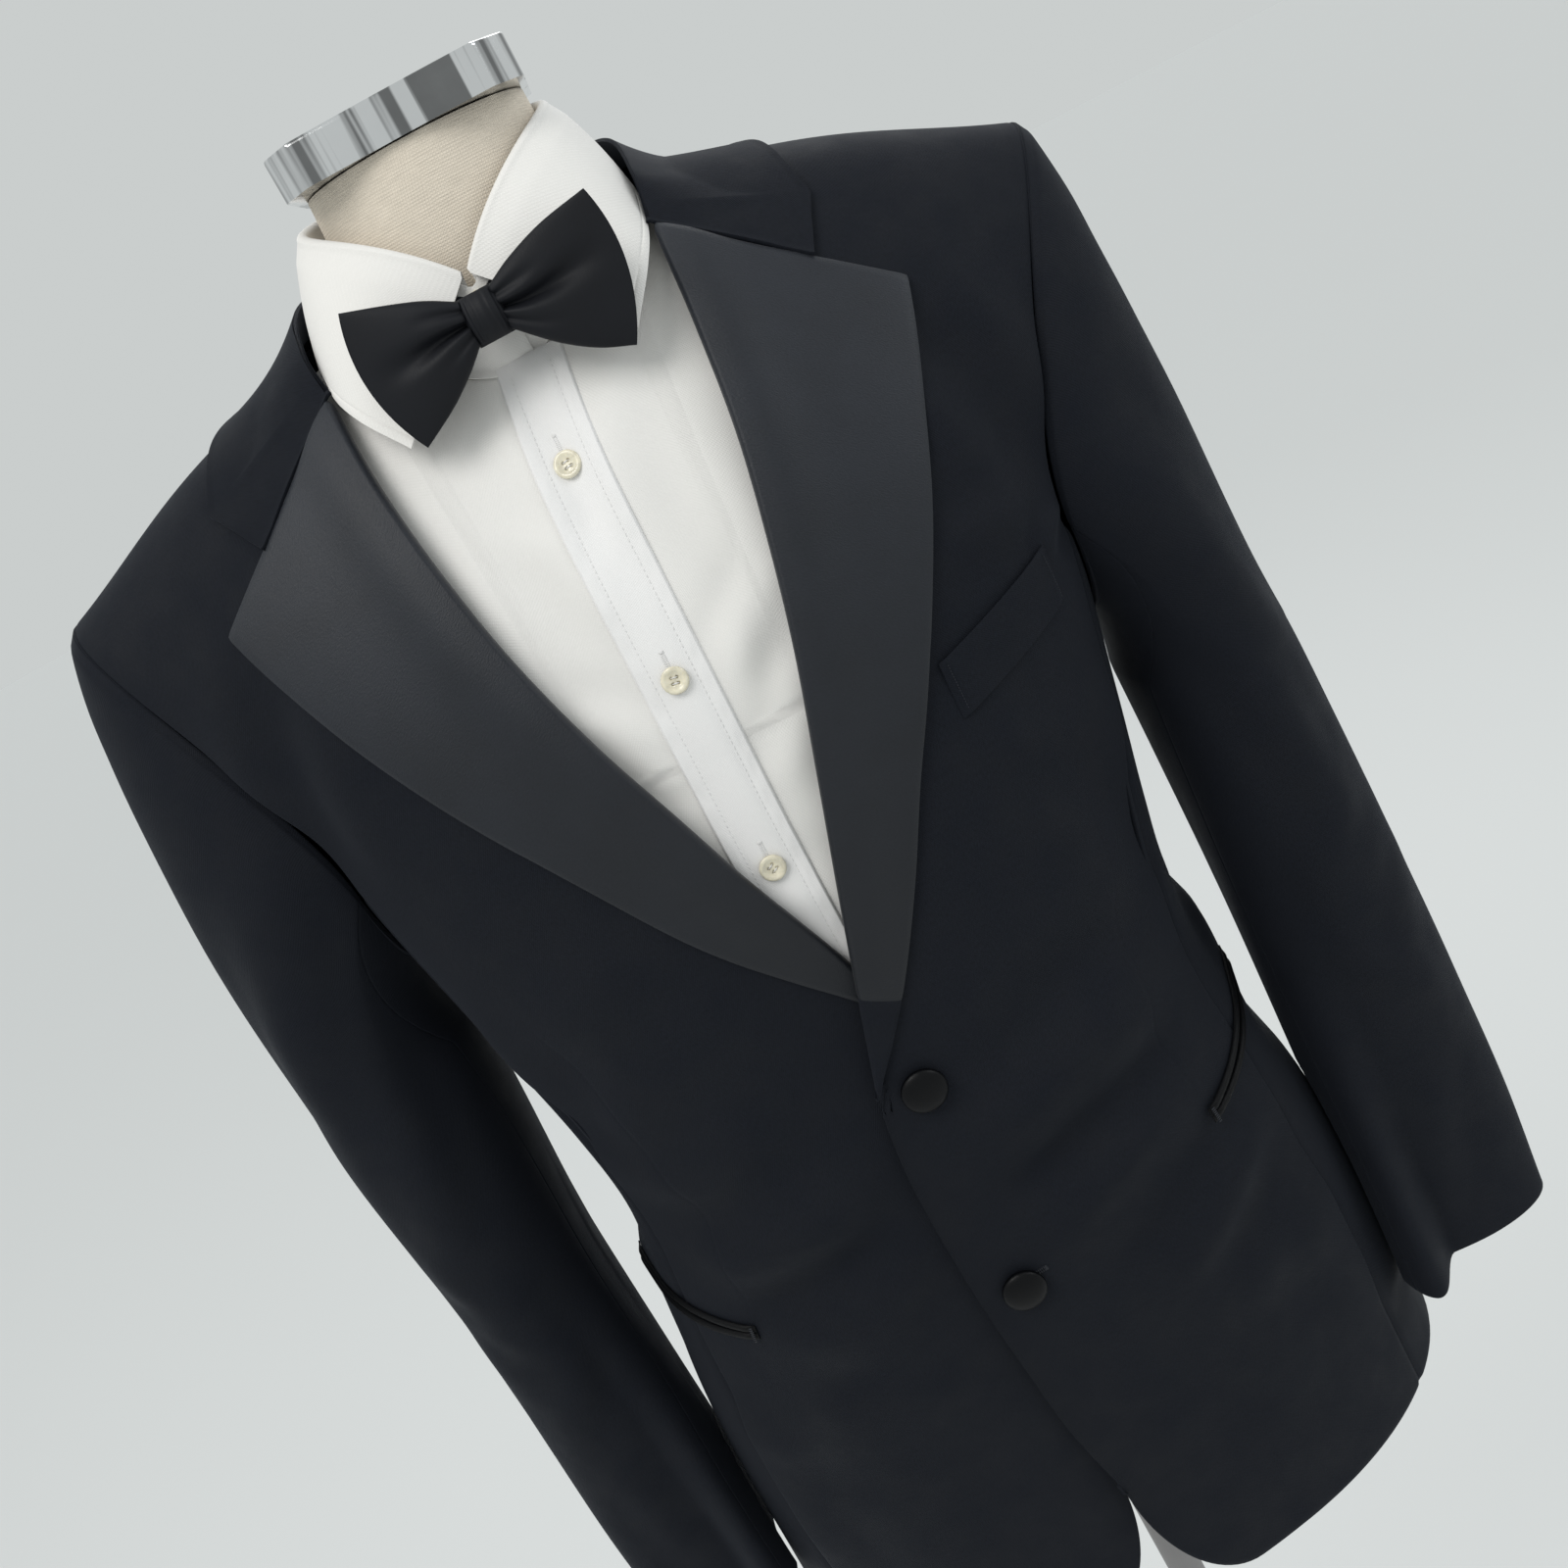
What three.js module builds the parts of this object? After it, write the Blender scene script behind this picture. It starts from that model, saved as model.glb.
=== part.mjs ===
// Dinner jacket, dress shirt and bow tie on a limbless dress form.
// Millimetres, +Z up, front faces -Y, +X is the wearer's left, origin under the middle of the base.
import * as THREE from "three";

// Levels above the floor
const HEM_Z = 780;
const CHEST_Z = 1290;
const ARMPIT_Z = 1240;
const BREAK_Z = 1122;

// Cloth walls and the layers from the jacket's face inwards
const SEAM_GAP = 0.3;
const WOOL = 2.0;
const SATIN = 2.0;
const SHIRTING = 1.0;
const SHIRT_FACE = -9.5;

// Jacket round the trunk: half width, front depth, back depth and squareness at each level
const TRUNK = [
  { z: 700, width: 199, front: 122, back: 120, square: 2.0 },
  { z: 780, width: 195, front: 123, back: 119, square: 2.0 },
  { z: 860, width: 190, front: 125, back: 118, square: 2.1 },
  { z: 950, width: 182, front: 127, back: 114, square: 2.2 },
  { z: 1020, width: 170, front: 129, back: 106, square: 2.3 },
  { z: 1078, width: 160, front: 130, back: 97, square: 2.3 },
  { z: 1130, width: 163, front: 129, back: 96, square: 2.3 },
  { z: 1200, width: 173, front: 127, back: 103, square: 2.4 },
  { z: 1290, width: 186, front: 122, back: 113, square: 2.5 },
  { z: 1350, width: 190, front: 117, back: 116, square: 2.5 },
];

// Shoulder line from the neck point to the sleeve head
const NECK_X = 84;
const TIP_X = 236;
const NECK_Z = 1501;
const TIP_Z = 1446;
const RIDGE_Y = 8;
const RIDGE_ARCH = 4;
const ARMHOLE_X = 176;

// Front edge below the break, and the rounded cutaway corner
const FRONT_EDGE = [
  { z: 865, x: 0 },
  { z: 913, x: -9 },
  { z: 958, x: -13 },
  { z: 1002, x: -16 },
  { z: 1044, x: -17 },
  { z: 1087, x: -16 },
  { z: 1127, x: -11 },
];
const CUTAWAY_WIDTH = 46;
const CUTAWAY_TOP_Z = 865;

// Roll line of the lapel from the break to the neck point
const ROLL_LINE = [
  { z: 1122, x: -11 },
  { z: 1167, x: 3 },
  { z: 1208, x: 16 },
  { z: 1260, x: 31 },
  { z: 1316, x: 46 },
  { z: 1360, x: 57 },
  { z: 1399, x: 64 },
  { z: 1440, x: 69 },
  { z: 1480, x: 73 },
  { z: 1515, x: 82 },
];

// Outer edge of the lapel from the break to its corner
const LAPEL_EDGE = [
  { z: 1126, x: -3 },
  { z: 1137, x: 11 },
  { z: 1173, x: 34 },
  { z: 1219, x: 60 },
  { z: 1267, x: 87 },
  { z: 1303, x: 104 },
  { z: 1336, x: 120 },
  { z: 1362, x: 131 },
  { z: 1389, x: 141 },
  { z: 1416, x: 149 },
];
const GORGE_IN = { x: 74, z: 1478 };
const NOTCH = { x: 121, z: 1440 };
const COLLAR_CORNER = { x: 133, z: 1461 };

// Sleeve below the armhole: centre, half width and half depth at each level
const SLEEVE = [
  { z: 1195, x: 222, y: 4, width: 39, depth: 64 },
  { z: 1142, x: 224, y: -1, width: 40, depth: 61 },
  { z: 1060, x: 227, y: -8, width: 42, depth: 58 },
  { z: 980, x: 228, y: -15, width: 44, depth: 55 },
  { z: 900, x: 228, y: -23, width: 46, depth: 52 },
  { z: 833, x: 226, y: -29, width: 46, depth: 50 },
];

// Long fold of the sleeve: a valley between a front roll and the flatter outer part
const SLEEVE_FOLD = { at: 66, spread: 26, deep: 17, rollAt: 112, rollHigh: 5, from: 0.25 };

// Small trim
const JACKET_BUTTON = { radius: 10.5, high: 6, places: [{ x: 8.5, z: 1118 }, { x: 5, z: 997 }] };
const SHIRT_BUTTON = { radius: 5.8, high: 2.4, places: [1415, 1325, 1237] };
const WELT = { x: 95, z: 1265, width: 58, rise: 24, high: 25, thick: 1.6 };
const HIP_POCKET = { frontAngle: 42, backAngle: 84, frontZ: 1007, backZ: 1031, high: 5, thick: 1.8 };

// Shirt
const SHIRT_HEM_Z = 880;
const PLACKET_HALF = 15;

// Dress form
const FORM = [
  { z: 850, width: 164, front: 100, back: 96, square: 2.1 },
  { z: 872, width: 171, front: 107, back: 101, square: 2.1 },
  { z: 950, width: 163, front: 110, back: 97, square: 2.2 },
  { z: 1078, width: 142, front: 113, back: 81, square: 2.2 },
  { z: 1200, width: 154, front: 110, back: 87, square: 2.3 },
  { z: 1290, width: 156, front: 104, back: 96, square: 2.3 },
  { z: 1350, width: 156, front: 96, back: 98, square: 2.2 },
  { z: 1395, width: 157, front: 82, back: 88, square: 2.2 },
  { z: 1430, width: 150, front: 67, back: 73, square: 2.1 },
  { z: 1452, width: 126, front: 50, back: 60, square: 1.8 },
  { z: 1470, width: 75, front: 39, back: 50, square: 1.7 },
  { z: 1484, width: 55, front: 46, back: 48, square: 1.9 },
  { z: 1500, width: 53, front: 49, back: 48, square: 2.0 },
  { z: 1520, width: 53, front: 50, back: 49, square: 2.0 },
  { z: 1550, width: 53, front: 49, back: 48, square: 2.0 },
];
const CAP = { width: 56, depth: 52, bottom: 1550.3, high: 20, bevel: 3 };
const POLE = { radius: 10, collarRadius: 14, collarBottom: 735 };
const BASE = { radius: 165, high: 12, dome: 8 };

// Numbers and interpolation
const RAD = Math.PI / 180;
const lerp = (a, b, t) => a + (b - a) * t;
const clamp = (x, lo, hi) => Math.min(hi, Math.max(lo, x));
const bell = (x, middle, spread) => Math.exp(-(((x - middle) / spread) ** 2));

function ease(lo, hi, x) {
  const t = clamp((x - lo) / (hi - lo), 0, 1);
  return t * t * (3 - 2 * t);
}

// A value from a table by height, on a smooth curve through the rows
function column(table, name, z) {
  const rising = table[0].z < table[table.length - 1].z;
  const rows = rising ? table : [...table].reverse();
  const last = rows.length - 1;
  let k = 0;
  while (k < last - 1 && z > rows[k + 1].z) k += 1;
  const slope = (i) => {
    const lo = rows[Math.max(0, i - 1)];
    const hi = rows[Math.min(last, i + 1)];
    return (hi[name] - lo[name]) / (hi.z - lo.z);
  };
  const span = rows[k + 1].z - rows[k].z;
  const t = (z - rows[k].z) / span;
  if (t < 0) return rows[k][name] + slope(k) * (z - rows[k].z);
  if (t > 1) return rows[k + 1][name] + slope(k + 1) * (z - rows[k + 1].z);
  const t2 = t * t;
  const t3 = t2 * t;
  return (
    (2 * t3 - 3 * t2 + 1) * rows[k][name] +
    (t3 - 2 * t2 + t) * span * slope(k) +
    (3 * t2 - 2 * t3) * rows[k + 1][name] +
    (t3 - t2) * span * slope(k + 1)
  );
}

function bezier(a, b, c, d, t) {
  const s = 1 - t;
  return s * s * s * a + 3 * s * s * t * b + 3 * s * t * t * c + t * t * t * d;
}

function steps(count, lo = 0, hi = 1) {
  return Array.from({ length: count + 1 }, (_, i) => lerp(lo, hi, i / count));
}

// Materials
function finish(color, roughness, metalness = 0) {
  return new THREE.MeshStandardMaterial({ color, roughness, metalness });
}
const wool = () => finish("#1b2029", 0.85);
const satin = () => finish("#33363d", 0.42);
const tieSatin = () => finish("#1c1e24", 0.45);
const cotton = () => finish("#e6e4e0", 0.8);
const linen = () => finish("#cdc3b4", 0.9);
const pearl = () => finish("#e1dcc8", 0.35);
const chrome = () => finish("#dcdfe2", 0.12, 1);
const steel = () => finish("#6e6b6b", 0.4, 0.9);

const tuxedo = new THREE.Group();

function addMesh(name, positions, triangles, material) {
  const geometry = new THREE.BufferGeometry();
  geometry.setAttribute("position", new THREE.Float32BufferAttribute(positions.flat(), 3));
  geometry.setIndex(triangles.flat());
  geometry.computeVertexNormals();
  const mesh = new THREE.Mesh(geometry, material);
  mesh.name = name;
  tuxedo.add(mesh);
  return mesh;
}

// A closed wall on a surface: place(u, v) gives a point, outer and inner are offsets along its normal
function wall(name, place, us, vs, outer, inner, material, turn = 1) {
  const step = 1e-3;
  const point = (u, v) => new THREE.Vector3(...place(u, v));
  const positions = [];
  for (const offset of [outer, inner]) {
    for (const v of vs) {
      for (const u of us) {
        const du = point(u + step, v).sub(point(u - step, v));
        const dv = point(u, v + step).sub(point(u, v - step));
        const normal = du.cross(dv).normalize().multiplyScalar(turn);
        const distance = typeof offset === "function" ? offset(u, v) : offset;
        positions.push(point(u, v).addScaledVector(normal, distance).toArray());
      }
    }
  }
  const nu = us.length;
  const nv = vs.length;
  const layer = nu * nv;
  const at = (i, j, side) => side * layer + j * nu + i;
  const triangles = [];
  const quad = (a, b, c, d) => {
    const faces = turn > 0 ? [[a, b, c], [a, c, d]] : [[a, c, b], [a, d, c]];
    triangles.push(...faces);
  };
  for (let j = 0; j < nv - 1; j += 1) {
    for (let i = 0; i < nu - 1; i += 1) {
      quad(at(i, j, 0), at(i + 1, j, 0), at(i + 1, j + 1, 0), at(i, j + 1, 0));
      quad(at(i, j, 1), at(i, j + 1, 1), at(i + 1, j + 1, 1), at(i + 1, j, 1));
    }
  }
  for (let i = 0; i < nu - 1; i += 1) {
    quad(at(i, 0, 0), at(i, 0, 1), at(i + 1, 0, 1), at(i + 1, 0, 0));
    quad(at(i, nv - 1, 0), at(i + 1, nv - 1, 0), at(i + 1, nv - 1, 1), at(i, nv - 1, 1));
  }
  for (let j = 0; j < nv - 1; j += 1) {
    quad(at(0, j, 0), at(0, j + 1, 0), at(0, j + 1, 1), at(0, j, 1));
    quad(at(nu - 1, j, 0), at(nu - 1, j, 1), at(nu - 1, j + 1, 1), at(nu - 1, j + 1, 0));
  }
  return addMesh(name, positions, triangles, material);
}

// A closed body through rings, each ring a list of points, capped at both ends
function loft(name, rings, material) {
  const count = rings[0].length;
  const positions = rings.flat();
  const middle = (ring) => {
    const sum = [0, 0, 0];
    for (const p of ring) sum.forEach((_, k) => (sum[k] += p[k] / ring.length));
    return sum;
  };
  positions.push(middle(rings[0]), middle(rings[rings.length - 1]));
  const low = rings.length * count;
  const high = low + 1;
  const triangles = [];
  for (let i = 0; i < count; i += 1) {
    const next = (i + 1) % count;
    for (let j = 0; j < rings.length - 1; j += 1) {
      const a = j * count + i;
      const b = j * count + next;
      triangles.push([a, b, b + count], [a, b + count, a + count]);
    }
    const top = (rings.length - 1) * count;
    triangles.push([low, next, i], [high, top + i, top + next]);
  }
  return addMesh(name, positions, triangles, material);
}

// Point of a trunk section at a height and an angle from the front middle, sideways at 90 degrees
function sectionPoint(table, z, angle, offset = 0) {
  const square = column(table, "square", z);
  const s = Math.sin(angle * RAD);
  const c = Math.cos(angle * RAD);
  const x = (column(table, "width", z) + offset) * Math.sign(s) * Math.abs(s) ** (2 / square);
  const depth = column(table, c > 0 ? "front" : "back", z) + offset;
  return [x, -Math.sign(c) * depth * Math.abs(c) ** (2 / square), z];
}

function trunkY(x, z, back) {
  const square = column(TRUNK, "square", z);
  const ratio = clamp(Math.abs(x) / column(TRUNK, "width", z), 0, 0.999);
  const depth = column(TRUNK, back ? "back" : "front", z);
  return (back ? 1 : -1) * depth * (1 - ratio ** square) ** (1 / square);
}

// The shoulder line's height over x, rounded over inside the neck
function ridgeZ(x) {
  const fall = (NECK_Z - TIP_Z) / (TIP_X - NECK_X);
  if (x < NECK_X) return NECK_Z + (fall * (NECK_X ** 2 - x ** 2)) / (2 * NECK_X);
  const t = (x - NECK_X) / (TIP_X - NECK_X);
  return NECK_Z - fall * (x - NECK_X) + RIDGE_ARCH * Math.sin(Math.PI * clamp(t, 0, 1)) ** 2;
}

// Seen from the front, how far the armhole is from the middle as s runs from the chest to the tip
const armholeX = (s) => ARMHOLE_X + (TIP_X - ARMHOLE_X) * ease(0, 1, s);

// How the cloth leaves the chest and runs in to the shoulder line, at the middle and at the armhole
const DRAPE = {
  front: { lean: [2, -12], reach: [-74, -52] },
  back: { lean: [5, 5], reach: [66, 50] },
  leaveZ: [1385, 1352],
};

// The upper trunk: c runs from the middle to the armhole, s from the chest to the shoulder line
function upperPoint(c, s, back) {
  const x = c * armholeX(s);
  const startY = trunkY(c * ARMHOLE_X, CHEST_Z, back);
  const wide = Math.min(c * c, 1);
  const top = ridgeZ(Math.abs(c) * TIP_X);
  const { lean, reach } = back ? DRAPE.back : DRAPE.front;
  const y = bezier(startY, startY + lerp(...lean, wide), RIDGE_Y + lerp(...reach, wide), RIDGE_Y, s);
  const z = bezier(CHEST_Z, lerp(...DRAPE.leaveZ, wide), top, top, s);
  return [x, y, z];
}

// Heights above the chest as a share s of the way up a column through x
function shareAt(x, z, back) {
  let lo = 0;
  let hi = 1;
  for (let i = 0; i < 24; i += 1) {
    const s = (lo + hi) / 2;
    if (upperPoint(x / armholeX(s), s, back)[2] < z) lo = s;
    else hi = s;
  }
  return (lo + hi) / 2;
}

// The front of the jacket at x and z
function frontAt(x, z) {
  if (z <= CHEST_Z) return [x, trunkY(x, z, false), z];
  const s = shareAt(x, z, false);
  return upperPoint(x / armholeX(s), s, false);
}

// Where the fronts overlap, the wearer's left lies over the right
const LAP = { over: 1.4, under: -5.0, flatX: 20, endX: 75, flatZ: 1165, endZ: 1250 };
function lapOffset(side, x, z) {
  const across = 1 - ease(LAP.flatX, LAP.endX, side * x);
  const low = 1 - ease(LAP.flatZ, LAP.endZ, z);
  return (side > 0 ? LAP.over : LAP.under) * across * low;
}

// Seam between front and side body, and between side body and back, as a share of the half width
const SEAM_SHARE = [0.84, ARMHOLE_X / 186];
const seamX = (z) => lerp(...SEAM_SHARE, ease(HEM_Z, CHEST_Z, z)) * column(TRUNK, "width", z);

// Hem of the front: the cutaway arc, then level
function frontHemZ(x) {
  const t = clamp(1 - x / CUTAWAY_WIDTH, 0, 1);
  return HEM_Z + (CUTAWAY_TOP_Z - HEM_Z) * (1 - Math.sqrt(1 - t * t));
}

// Front edge below the break, and above it the line where the panel goes under the lapel's roll
const ROLL_WIDTH = 3.0;
const ROLL_CLEAR = 2.2;
function innerX(z) {
  if (z < BREAK_Z) return column(FRONT_EDGE, "x", Math.max(z, CUTAWAY_TOP_Z));
  const clear = (ROLL_WIDTH + ROLL_CLEAR) * ease(BREAK_Z - 10, BREAK_Z + 12, z);
  return column(ROLL_LINE, "x", Math.min(z, ROLL_LINE[ROLL_LINE.length - 1].z)) + clear;
}

// Columns of a front panel, close together on the cutaway arc
const FRONT_COLUMNS = [0, 0.035, 0.09, 0.16, 0.235, 0.34, 0.47, 0.62, 0.78, 0.9, 1];
const LOWER_ROWS = 10;
const UPPER_ROWS = 6;
const ROWS = [...steps(LOWER_ROWS), ...steps(UPPER_ROWS, 1, 2).slice(1)];

// A front panel: u from the edge to the side seam, v from hem (0) through chest (1) to shoulder (2)
function frontPlace(side) {
  return (u, v) => {
    if (v <= 1) {
      const hemSpan = seamX(HEM_Z);
      const z = lerp(frontHemZ(u * hemSpan), CHEST_Z, v);
      const start = innerX(z);
      const x = lerp(start, seamX(z) - SEAM_GAP / 2, u);
      const p = frontAt(x, z);
      return [side * p[0], p[1] - lapOffset(side, side * p[0], z), p[2]];
    }
    const s = v - 1;
    let x = 40;
    for (let i = 0; i < 12; i += 1) x = innerX(upperPoint(x / armholeX(s), s, false)[2]);
    const p = upperPoint(lerp(x, armholeX(s), u) / armholeX(s), s, false);
    return [side * p[0], p[1] - SEAM_GAP / 2 - lapOffset(side, side * p[0], p[2]), p[2]];
  };
}

for (const side of [1, -1]) {
  const word = side > 0 ? "left" : "right";
  wall(`jacket_front_${word}`, frontPlace(side), FRONT_COLUMNS, ROWS, 0, -WOOL, wool(), side);
}

// Side bodies under the arms, u from the front seam to the back seam
function sideTopZ(u) {
  return lerp(ARMPIT_Z, CHEST_Z, (2 * u - 1) ** 2);
}
function sidePlace(side) {
  return (u, v) => {
    const z = lerp(HEM_Z, sideTopZ(clamp(u, 0, 1)), v);
    const square = column(TRUNK, "square", z);
    const share = (seamX(z) + SEAM_GAP / 2) / column(TRUNK, "width", z);
    const edge = Math.asin(share ** (square / 2)) / RAD;
    const p = sectionPoint(TRUNK, z, lerp(edge, 180 - edge, u));
    return [side * p[0], p[1], p[2]];
  };
}
for (const side of [1, -1]) {
  const word = side > 0 ? "left" : "right";
  wall(`jacket_side_${word}`, sidePlace(side), steps(6), steps(LOWER_ROWS), 0, -WOOL, wool(), side);
}

// Back panels: u from the side seam to the middle, v as on the fronts
const BACK_NECK_DEPTH = 60;
const BACK_COLUMNS = [0, 0.12, 0.25, 0.38, 0.51, 0.64, 0.76, 0.88, 1];
const NECK_COLUMN = 0.64;

function backX(u, s) {
  const neckX = (NECK_X / TIP_X) * armholeX(s);
  if (u <= NECK_COLUMN) return lerp(armholeX(s), neckX, u / NECK_COLUMN);
  return lerp(neckX, SEAM_GAP / 2, (u - NECK_COLUMN) / (1 - NECK_COLUMN));
}
function backTop(u) {
  const t = backX(u, 1) / NECK_X;
  if (t >= 1) return 1;
  const neckY = RIDGE_Y + BACK_NECK_DEPTH * Math.sqrt(1 - t * t);
  let lo = 0;
  let hi = 1;
  for (let i = 0; i < 24; i += 1) {
    const s = (lo + hi) / 2;
    if (upperPoint(backX(u, s) / armholeX(s), s, true)[1] > neckY) lo = s;
    else hi = s;
  }
  return (lo + hi) / 2;
}
function backPlace(side) {
  return (u, v) => {
    if (v <= 1) {
      const z = lerp(HEM_Z, CHEST_Z, v);
      const wide = u <= NECK_COLUMN
        ? lerp(1, NECK_X / TIP_X, u / NECK_COLUMN)
        : lerp(NECK_X / TIP_X, 0, (u - NECK_COLUMN) / (1 - NECK_COLUMN));
      const x = wide * (seamX(z) - SEAM_GAP / 2) + (1 - wide) * SEAM_GAP / 2;
      return [side * x, trunkY(x, z, true), z];
    }
    const s = (v - 1) * backTop(u);
    const p = upperPoint(backX(u, s) / armholeX(s), s, true);
    return [side * p[0], p[1] + SEAM_GAP / 2, p[2]];
  };
}
for (const side of [1, -1]) {
  const word = side > 0 ? "left" : "right";
  wall(`jacket_back_${word}`, backPlace(side), BACK_COLUMNS, ROWS, 0, -WOOL, wool(), side);
}

// Armhole loop: 0 degrees at the shoulder tip, 90 in front, 180 under the arm, 270 behind
const HALF_SEAM = 115;
function armholePoint(angle) {
  const a = ((angle % 360) + 360) % 360;
  if (a <= HALF_SEAM) return frontPlace(1)(1, 2 - a / HALF_SEAM);
  if (a >= 360 - HALF_SEAM) return backPlace(1)(0, 1 + (a - 360 + HALF_SEAM) / HALF_SEAM);
  return sidePlace(1)((a - HALF_SEAM) / (360 - 2 * HALF_SEAM), 1);
}

// The wearer's right sleeve stands a little fuller at its head
const HEAD_FULLNESS = { 1: 0, "-1": 9 };
const SLEEVE_TOP_Z = 1195;
const CUFF_Z = 833;
const SLEEVE_CLEAR = 0.4;
const SLEEVE_OFF_TRUNK = 4.5;

// The trunk's half width at y
function trunkX(y, z) {
  const square = column(TRUNK, "square", z);
  const depth = column(TRUNK, y < 0 ? "front" : "back", z);
  const ratio = clamp(Math.abs(y) / depth, 0, 1);
  return column(TRUNK, "width", z) * (1 - ratio ** square) ** (1 / square);
}

function sleeveRing(side, z, angle) {
  const full = HEAD_FULLNESS[side] * ease(1040, SLEEVE_TOP_Z, z);
  const down = ease(SLEEVE_FOLD.from, 1, (SLEEVE_TOP_Z - z) / (SLEEVE_TOP_Z - CUFF_Z));
  const valley = SLEEVE_FOLD.deep * bell(angle, SLEEVE_FOLD.at, SLEEVE_FOLD.spread);
  const roll = SLEEVE_FOLD.rollHigh * bell(angle, SLEEVE_FOLD.rollAt, SLEEVE_FOLD.spread);
  const out = down * (roll - valley);
  const width = column(SLEEVE, "width", z) + full / 2 + out;
  const depth = column(SLEEVE, "depth", z) + out;
  const y = column(SLEEVE, "y", z) - depth * Math.sin(angle * RAD);
  const x = column(SLEEVE, "x", z) + full / 2 + width * Math.cos(angle * RAD);
  return [Math.max(x, trunkX(y, z) + SLEEVE_OFF_TRUNK), y, z];
}

// A sleeve: u is the angle round it, v runs over the sleeve head (0 to 1) and down to the cuff (2)
const HEAD_LEAVE = { top: [14, 0, -40], side: [16, -9, -28], under: [6, 0, -3] };
const HEAD_ARRIVE = { top: [-8, 0, 70], side: [0, 0, 50], under: [5, 0, 20] };
function sleevePlace(side) {
  return (u, v) => {
    if (v > 1) {
      const p = sleeveRing(side, lerp(SLEEVE_TOP_Z, CUFF_Z, v - 1), u);
      return [side * p[0], p[1], p[2]];
    }
    const start = armholePoint(u);
    const end = sleeveRing(side, SLEEVE_TOP_Z, u);
    const s = Math.sin(u * RAD);
    const c = Math.cos(u * RAD);
    const blend = (set, k) => {
      const sideways = set.side[k] * (k === 1 ? s * Math.abs(s) : s * s);
      return (c > 0 ? set.top[k] : set.under[k]) * c * c + sideways;
    };
    const full = [HEAD_FULLNESS[side] * Math.max(c, 0), 0, 0];
    const p = [0, 1, 2].map((k) => {
      const leave = start[k] + blend(HEAD_LEAVE, k) + full[k];
      const arrive = end[k] + blend(HEAD_ARRIVE, k);
      return bezier(start[k], leave, arrive, end[k], v);
    });
    const under = ease(0.15, 0.6, -c) * (1 - v);
    return [side * (p[0] + SLEEVE_CLEAR + 0.8 * WOOL * under), p[1], p[2] + 1.5 * WOOL * under];
  };
}
const FRONT_SEAM = HALF_SEAM;
const BACK_SEAM = 360 - HALF_SEAM;
const SLEEVE_GAP = 0.2;
const TOP_COLUMNS = steps(2 * UPPER_ROWS, SLEEVE_GAP - FRONT_SEAM, FRONT_SEAM - SLEEVE_GAP);
const UNDER_COLUMNS = steps(6, FRONT_SEAM + SLEEVE_GAP, BACK_SEAM - SLEEVE_GAP);
const SLEEVE_ROWS = [0, 0.08, 0.2, 0.36, 0.56, 0.78, 1, 1.15, 1.3, 1.45, 1.6, 1.75, 1.88, 2];
for (const side of [1, -1]) {
  const word = side > 0 ? "left" : "right";
  wall(`topsleeve_${word}`, sleevePlace(side), TOP_COLUMNS, SLEEVE_ROWS, WOOL, 0, wool(), side);
  wall(`undersleeve_${word}`, sleevePlace(side), UNDER_COLUMNS, SLEEVE_ROWS, WOOL, 0, wool(), side);
}

// Satin lapels: u from the roll line to the outer edge, v from the break to the gorge
const LAPEL_LOW = { roll: 1130, edge: 1128 };
const LAPEL_UNDER = 0.9;
function lapelPlace(side) {
  return (u, v) => {
    const rollZ = lerp(LAPEL_LOW.roll, GORGE_IN.z, v);
    const edgeZ = lerp(LAPEL_LOW.edge, LAPEL_EDGE[LAPEL_EDGE.length - 1].z, v);
    const z = lerp(rollZ, edgeZ, u);
    const x = lerp(column(ROLL_LINE, "x", rollZ), column(LAPEL_EDGE, "x", edgeZ), u);
    const p = frontAt(x, z);
    return [side * p[0], p[1] - lapOffset(side, side * p[0], z), p[2]];
  };
}
function lapelWidth(v) {
  const rollZ = lerp(LAPEL_LOW.roll, GORGE_IN.z, v);
  const edgeZ = lerp(LAPEL_LOW.edge, LAPEL_EDGE[LAPEL_EDGE.length - 1].z, v);
  return Math.hypot(column(LAPEL_EDGE, "x", edgeZ) - column(ROLL_LINE, "x", rollZ), rollZ - edgeZ);
}
// Height over the front: down beside the panel's edge at the roll, a soft roll, flat at the outer edge
const SOFT_ROLL = { high: 5, across: 15, spread: 14 };
const ROLL_TURN = 2.9;
function lapelLift(side) {
  return (u, v) => {
    const across = u * lapelWidth(v);
    const free = side > 0 ? 1 : ease(0.08, 0.25, v);
    const along = free * ease(0, 0.12, v) * (1 - 0.5 * v);
    const soft = SOFT_ROLL.high * along * bell(across, SOFT_ROLL.across, SOFT_ROLL.spread) * (1 - u);
    const turn = ROLL_TURN * (1 - Math.sqrt(1 - (1 - clamp(across / ROLL_WIDTH, 0, 1)) ** 2));
    return LAPEL_UNDER + soft - turn;
  };
}
const LAPEL_COLUMNS = [0, 0.015, 0.04, 0.1, 0.2, 0.35, 0.55, 0.78, 1];
for (const side of [1, -1]) {
  const word = side > 0 ? "left" : "right";
  const under = lapelLift(side);
  const face = (u, v) => under(u, v) + SATIN;
  wall(`lapel_${word}`, lapelPlace(side), LAPEL_COLUMNS, steps(14), face, under, satin(), side);
}

// A smooth curve through a few points, by a share of its way
function through(points) {
  const curve = new THREE.CatmullRomCurve3(points.map((p) => new THREE.Vector3(...p)), false, "catmullrom");
  return (t) => curve.getPoint(clamp(t, 0, 1)).toArray();
}
const mirrorX = (p) => [-p[0], p[1], p[2]];
const bothSides = (half) => [...half, ...half.slice(0, -1).reverse().map(mirrorX)];
const mix = (a, b, t) => a.map((_, k) => lerp(a[k], b[k], t));

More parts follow.
